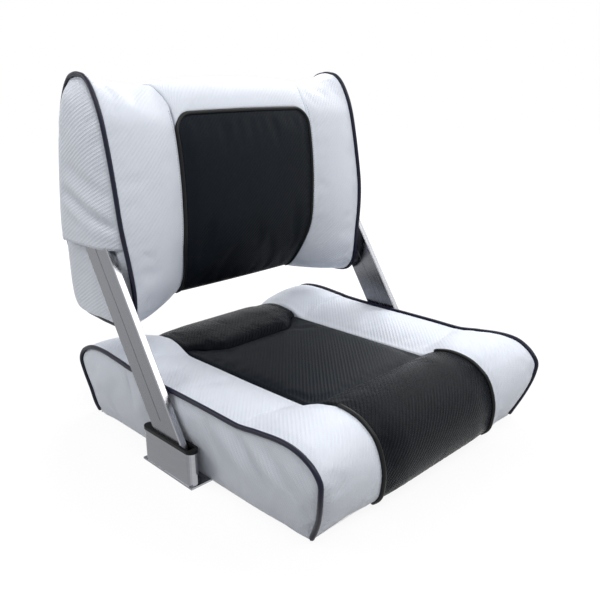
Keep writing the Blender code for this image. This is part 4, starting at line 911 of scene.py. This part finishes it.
def topPanelPiece():
    radius = back["seamRadius"]

    def rowsAt(x):
        lowZ = panelTopAt(x) + seamGap
        first = rowAtHeight(lowZ + radius)
        return np.concatenate([rowAtHeight(lowZ + endSteps(radius)), np.linspace(first, 0.0, 14)[1:]])

    def insetAt(x, z):
        above = z - panelTopAt(x) - seamGap
        share = x / (back["middleWidth"] / 2)
        atWing = roundOff(back["middleWidth"] / 2 - abs(x), radius) * (1 - back["topSeamSoftness"])
        full = back["topFullness"] * (1 - share**4) * smoothStep(above / (22 * mm))
        return full - np.maximum(roundOff(np.maximum(above, 0.0), radius), atWing)

    def innerOf(outside, depth):
        inside = outside - (0.0, 0.0, back["skin"])
        inside[:, 1] = back["barY"] + (inside[:, 1] - back["barY"]) * 0.9
        return inside

    return panelCover("back_top_cover", 0, rowsAt, insetAt, innerOf)


def panelWeltPath(facing):
    half, corner = back["middleWidth"] / 2, back["panelCorner"]
    topZ = back["barZ"] + back["panelTop"]
    lowZ = float(np.interp(len(backRows) - 2.4, denseBackRows, denseBackSeam[:, 1]))
    outline = [(-half, z) for z in np.linspace(lowZ, topZ - corner, 60)[:-1]]
    for a in np.linspace(0, math.pi / 2, 12):
        outline.append((-half + corner * (1 - math.cos(a)), topZ - corner * (1 - math.sin(a))))
    outline += [(x, topZ) for x in np.linspace(-half + corner, 0, 24)[1:]]
    outline += [(-x, z) for x, z in outline[-2::-1]]
    path = []
    for x, z in outline:
        across, depth, height = middleSurface(x, rowAtHeight([z]), 0.0)
        path.append((across[0], back["barY"] + facing * depth[0], height[0]))
    return path


def backHeld(points):  # the wings are held at the piping, the seams and all over the side
    x, z = np.abs(points[:, 0]), points[:, 2]
    return np.maximum.reduce([heldBelow(np.abs(x - backSeam(z)), 5, 8), heldBelow(backLateral(z) - x, 6, 8),
        heldBelow(z - back["footHeight"], 2, 8)])


def panelHeld(points):
    x, z = np.abs(points[:, 0]), points[:, 2]
    share = x / np.maximum(backSeam(z), 1e-6) * back["middleWidth"] / 2
    return heldBelow(np.minimum(panelInset(share, z), z - back["footHeight"] - 18 * mm), 5, 9)


for side, word in ((-1, "left"), (1, "right")):
    wing = settled(wingPiece(side, word), backHeld, 2.5 * mm, 0.005)
    finishPiece(wing, whiteVinyl, "backrest", f"back_{word}_wing")
    finishPiece(flapPiece(side, word), whiteVinyl, "backrest", f"back_{word}_flap")
    depth, z = backLine(1.0, 0.0).T
    out, tuck = backLateral(z), back["pipingTuck"] * smoothStep(depth / (30 * mm))
    loop = np.vstack([onBack(side * out, -depth, z), onBack(side * (out - tuck), depth, z)[-2:0:-1]])
    finishPiece(cordMesh(f"back_{word}_edge_piping", loop, back["pipingRadius"], True), navyPiping,
        "backrest", f"back_{word}_piping")
    depth, z = backLine(0.0, 0.25 * mm).T
    sewn = (z > back["footHeight"] + 34 * mm) & (z < back["barZ"] + back["panelTop"] + 6 * mm)
    row = side * (backSeam(z) + back["seamRadius"] + seamGap)
    stitchPaths["backrest"] += [onBack(row, facing * depth, z)[sewn] for facing in (-1, 1)]
for facing, word in ((-1, "front"), (1, "rear")):
    panel = settled(panelPiece(facing, f"back_{word}_cover"), panelHeld, 2.4 * mm, 0.007)
    finishPiece(panel, panelVinyl, "backrest", f"back_{word}_panel")
    finishPiece(cordMesh(f"back_{word}_panel_welt", panelWeltPath(facing), back["weltRadius"]), blackPiping,
        "backrest", f"back_{word}_welt")
finishPiece(topPanelPiece(), whiteVinyl, "backrest", "back_top_panel")
stitchRows("back_seam_stitches", stitchPaths["backrest"], "backrest", stitchThread)
print("backrest made")


# CAD pieces that keep their shape

cadLooks = {
    armAluminium: ("left_arm", "right_arm", "cross_bar"),
    polishedAluminium: ("left_bracket", "right_bracket"),
    blackRubber: ("left_pocket_insert", "right_pocket_insert"),
    blackNylon: ("left_arm_bush", "right_arm_bush"),
    birchPlywood: ("seat_board", "back_board"),
}
looks = {name: look for look, names in cadLooks.items() for name in names}
for name, node in cadNodes.items():
    node.data.materials.clear()
    node.data.materials.append(looks.get(name, zincSteel))
print("metal and boards dressed")


# studio: camera, light, floor

camera = {
    "place": (-0.6553, -0.6352, 0.4598), "roll": -0.0231, "pitch": 0.30702, "yaw": 0.72694,
    "focal": 673.5, "centre": (254.12, 304.46), "image": 600, "sensor": 36.0,
}


def makeCamera():
    roll, pitch, yaw = camera["roll"], camera["pitch"], camera["yaw"]
    ahead = np.array([math.sin(yaw) * math.cos(pitch), math.cos(yaw) * math.cos(pitch), -math.sin(pitch)])
    level = np.array([math.cos(yaw), -math.sin(yaw), 0.0])
    upright = np.cross(level, ahead)
    right = math.cos(roll) * level + math.sin(roll) * upright
    up = -math.sin(roll) * level + math.cos(roll) * upright
    data = bpy.data.cameras.new("photo camera")
    made = newObject("photo camera", data)
    turn = np.eye(4)
    turn[:3, 0], turn[:3, 1], turn[:3, 2], turn[:3, 3] = right, up, -ahead, camera["place"]
    made.matrix_world = Matrix(turn.tolist())
    size = camera["image"]
    data.sensor_width = camera["sensor"]
    data.lens = camera["focal"] / size * camera["sensor"]
    data.shift_x = (size / 2 - camera["centre"][0]) / size
    data.shift_y = (camera["centre"][1] - size / 2) / size
    data.clip_start = 0.02
    bpy.context.scene.camera = made


studio = {
    "world": 0.165, "floorSize": 12.0, "floorShadow": 0.22, "floorPaint": 0.45, "floorGlow": 1.16,
    "shadowReach": (0.35, 0.9),
    "middle": (0.0, 0.0, 0.25), "away": 2.3, "lampSize": 1.4,
    # name: (azimuth and elevation in degrees, watts); azimuth 0 is in front, 90 to the right
    "lamps": {"key": (-26, 55, 26.5), "right": (43, 33, 14.0), "farRight": (98, 32, 12.0),
              "left": (-128, 30, 16.5), "top": (10, 86, 5.0), "rear": (128, 38, 23.0)},
}


def backdropShare(node):  # 1 where the camera, a reflection or a clear piece looks at the backdrop
    path = node("LightPath")
    seen = path.outputs["Is Camera Ray"]
    for kind in ("Is Glossy Ray", "Is Transmission Ray"):
        seen = node("Math", {0: seen, 1: path.outputs[kind]}, operation="MAXIMUM").outputs[0]
    return seen


def makeWorld():
    world = bpy.data.worlds.new("studio")
    bpy.context.scene.world = world
    world.use_nodes = True
    world.node_tree.nodes.clear()
    node = partial(addNode, world.node_tree)
    strength = node("MapRange", {0: backdropShare(node), 1: 0.0, 2: 1.0, 3: studio["world"], 4: 1.0})
    sky = node("Background", {"Color": (1.0, 1.0, 1.0, 1.0), "Strength": strength})
    node("OutputWorld", {0: sky})


def makeFloor():
    half = studio["floorSize"] / 2
    mesh = bpy.data.meshes.new("studio_floor")
    mesh.from_pydata([(-half, -half, 0), (half, -half, 0), (half, half, 0), (-half, half, 0)], [],
        [(0, 1, 2, 3)])
    look, node = newMaterial("white studio floor")
    paint = node("BsdfDiffuse", {"Color": (*[studio["floorPaint"]] * 3, 1.0)})
    glow = node("Emission", {"Color": (1.0, 1.0, 1.0, 1.0), "Strength": studio["floorGlow"]})
    place = node("TexCoord").outputs["Object"]
    away = node("VectorMath", {0: place}, operation="LENGTH")
    near, far = studio["shadowReach"]
    glowShare = node("MapRange", {0: away.outputs["Value"], 1: near, 2: far, 3: 1 - studio["floorShadow"],
        4: 1.0})
    share = node("Math", {0: backdropShare(node), 1: glowShare}, operation="MULTIPLY")
    mixed = node("MixShader", {0: share, 1: paint, 2: glow})
    node("OutputMaterial", {0: mixed})
    mesh.materials.append(look)
    newObject("studio_floor", mesh)


def makeLamps():
    for name, (azimuth, elevation, watts) in studio["lamps"].items():
        data = bpy.data.lights.new(name, "AREA")
        data.shape = "DISK"
        data.size = studio["lampSize"]
        data.energy = watts
        a, e = math.radians(azimuth), math.radians(elevation)
        towards = np.array([math.sin(a) * math.cos(e), -math.cos(a) * math.cos(e), math.sin(e)])
        right = np.cross(-towards, (0.0, 0.0, 1.0))
        right /= np.linalg.norm(right)
        turn = np.eye(4)
        turn[:3, 0], turn[:3, 1], turn[:3, 2] = right, np.cross(towards, right), towards
        turn[:3, 3] = np.array(studio["middle"]) + towards * studio["away"]
        newObject(name, data).matrix_world = Matrix(turn.tolist())


bpy.context.scene.view_settings.view_transform = "Standard"
makeCamera()
makeWorld()
makeFloor()
makeLamps()
print("studio made")
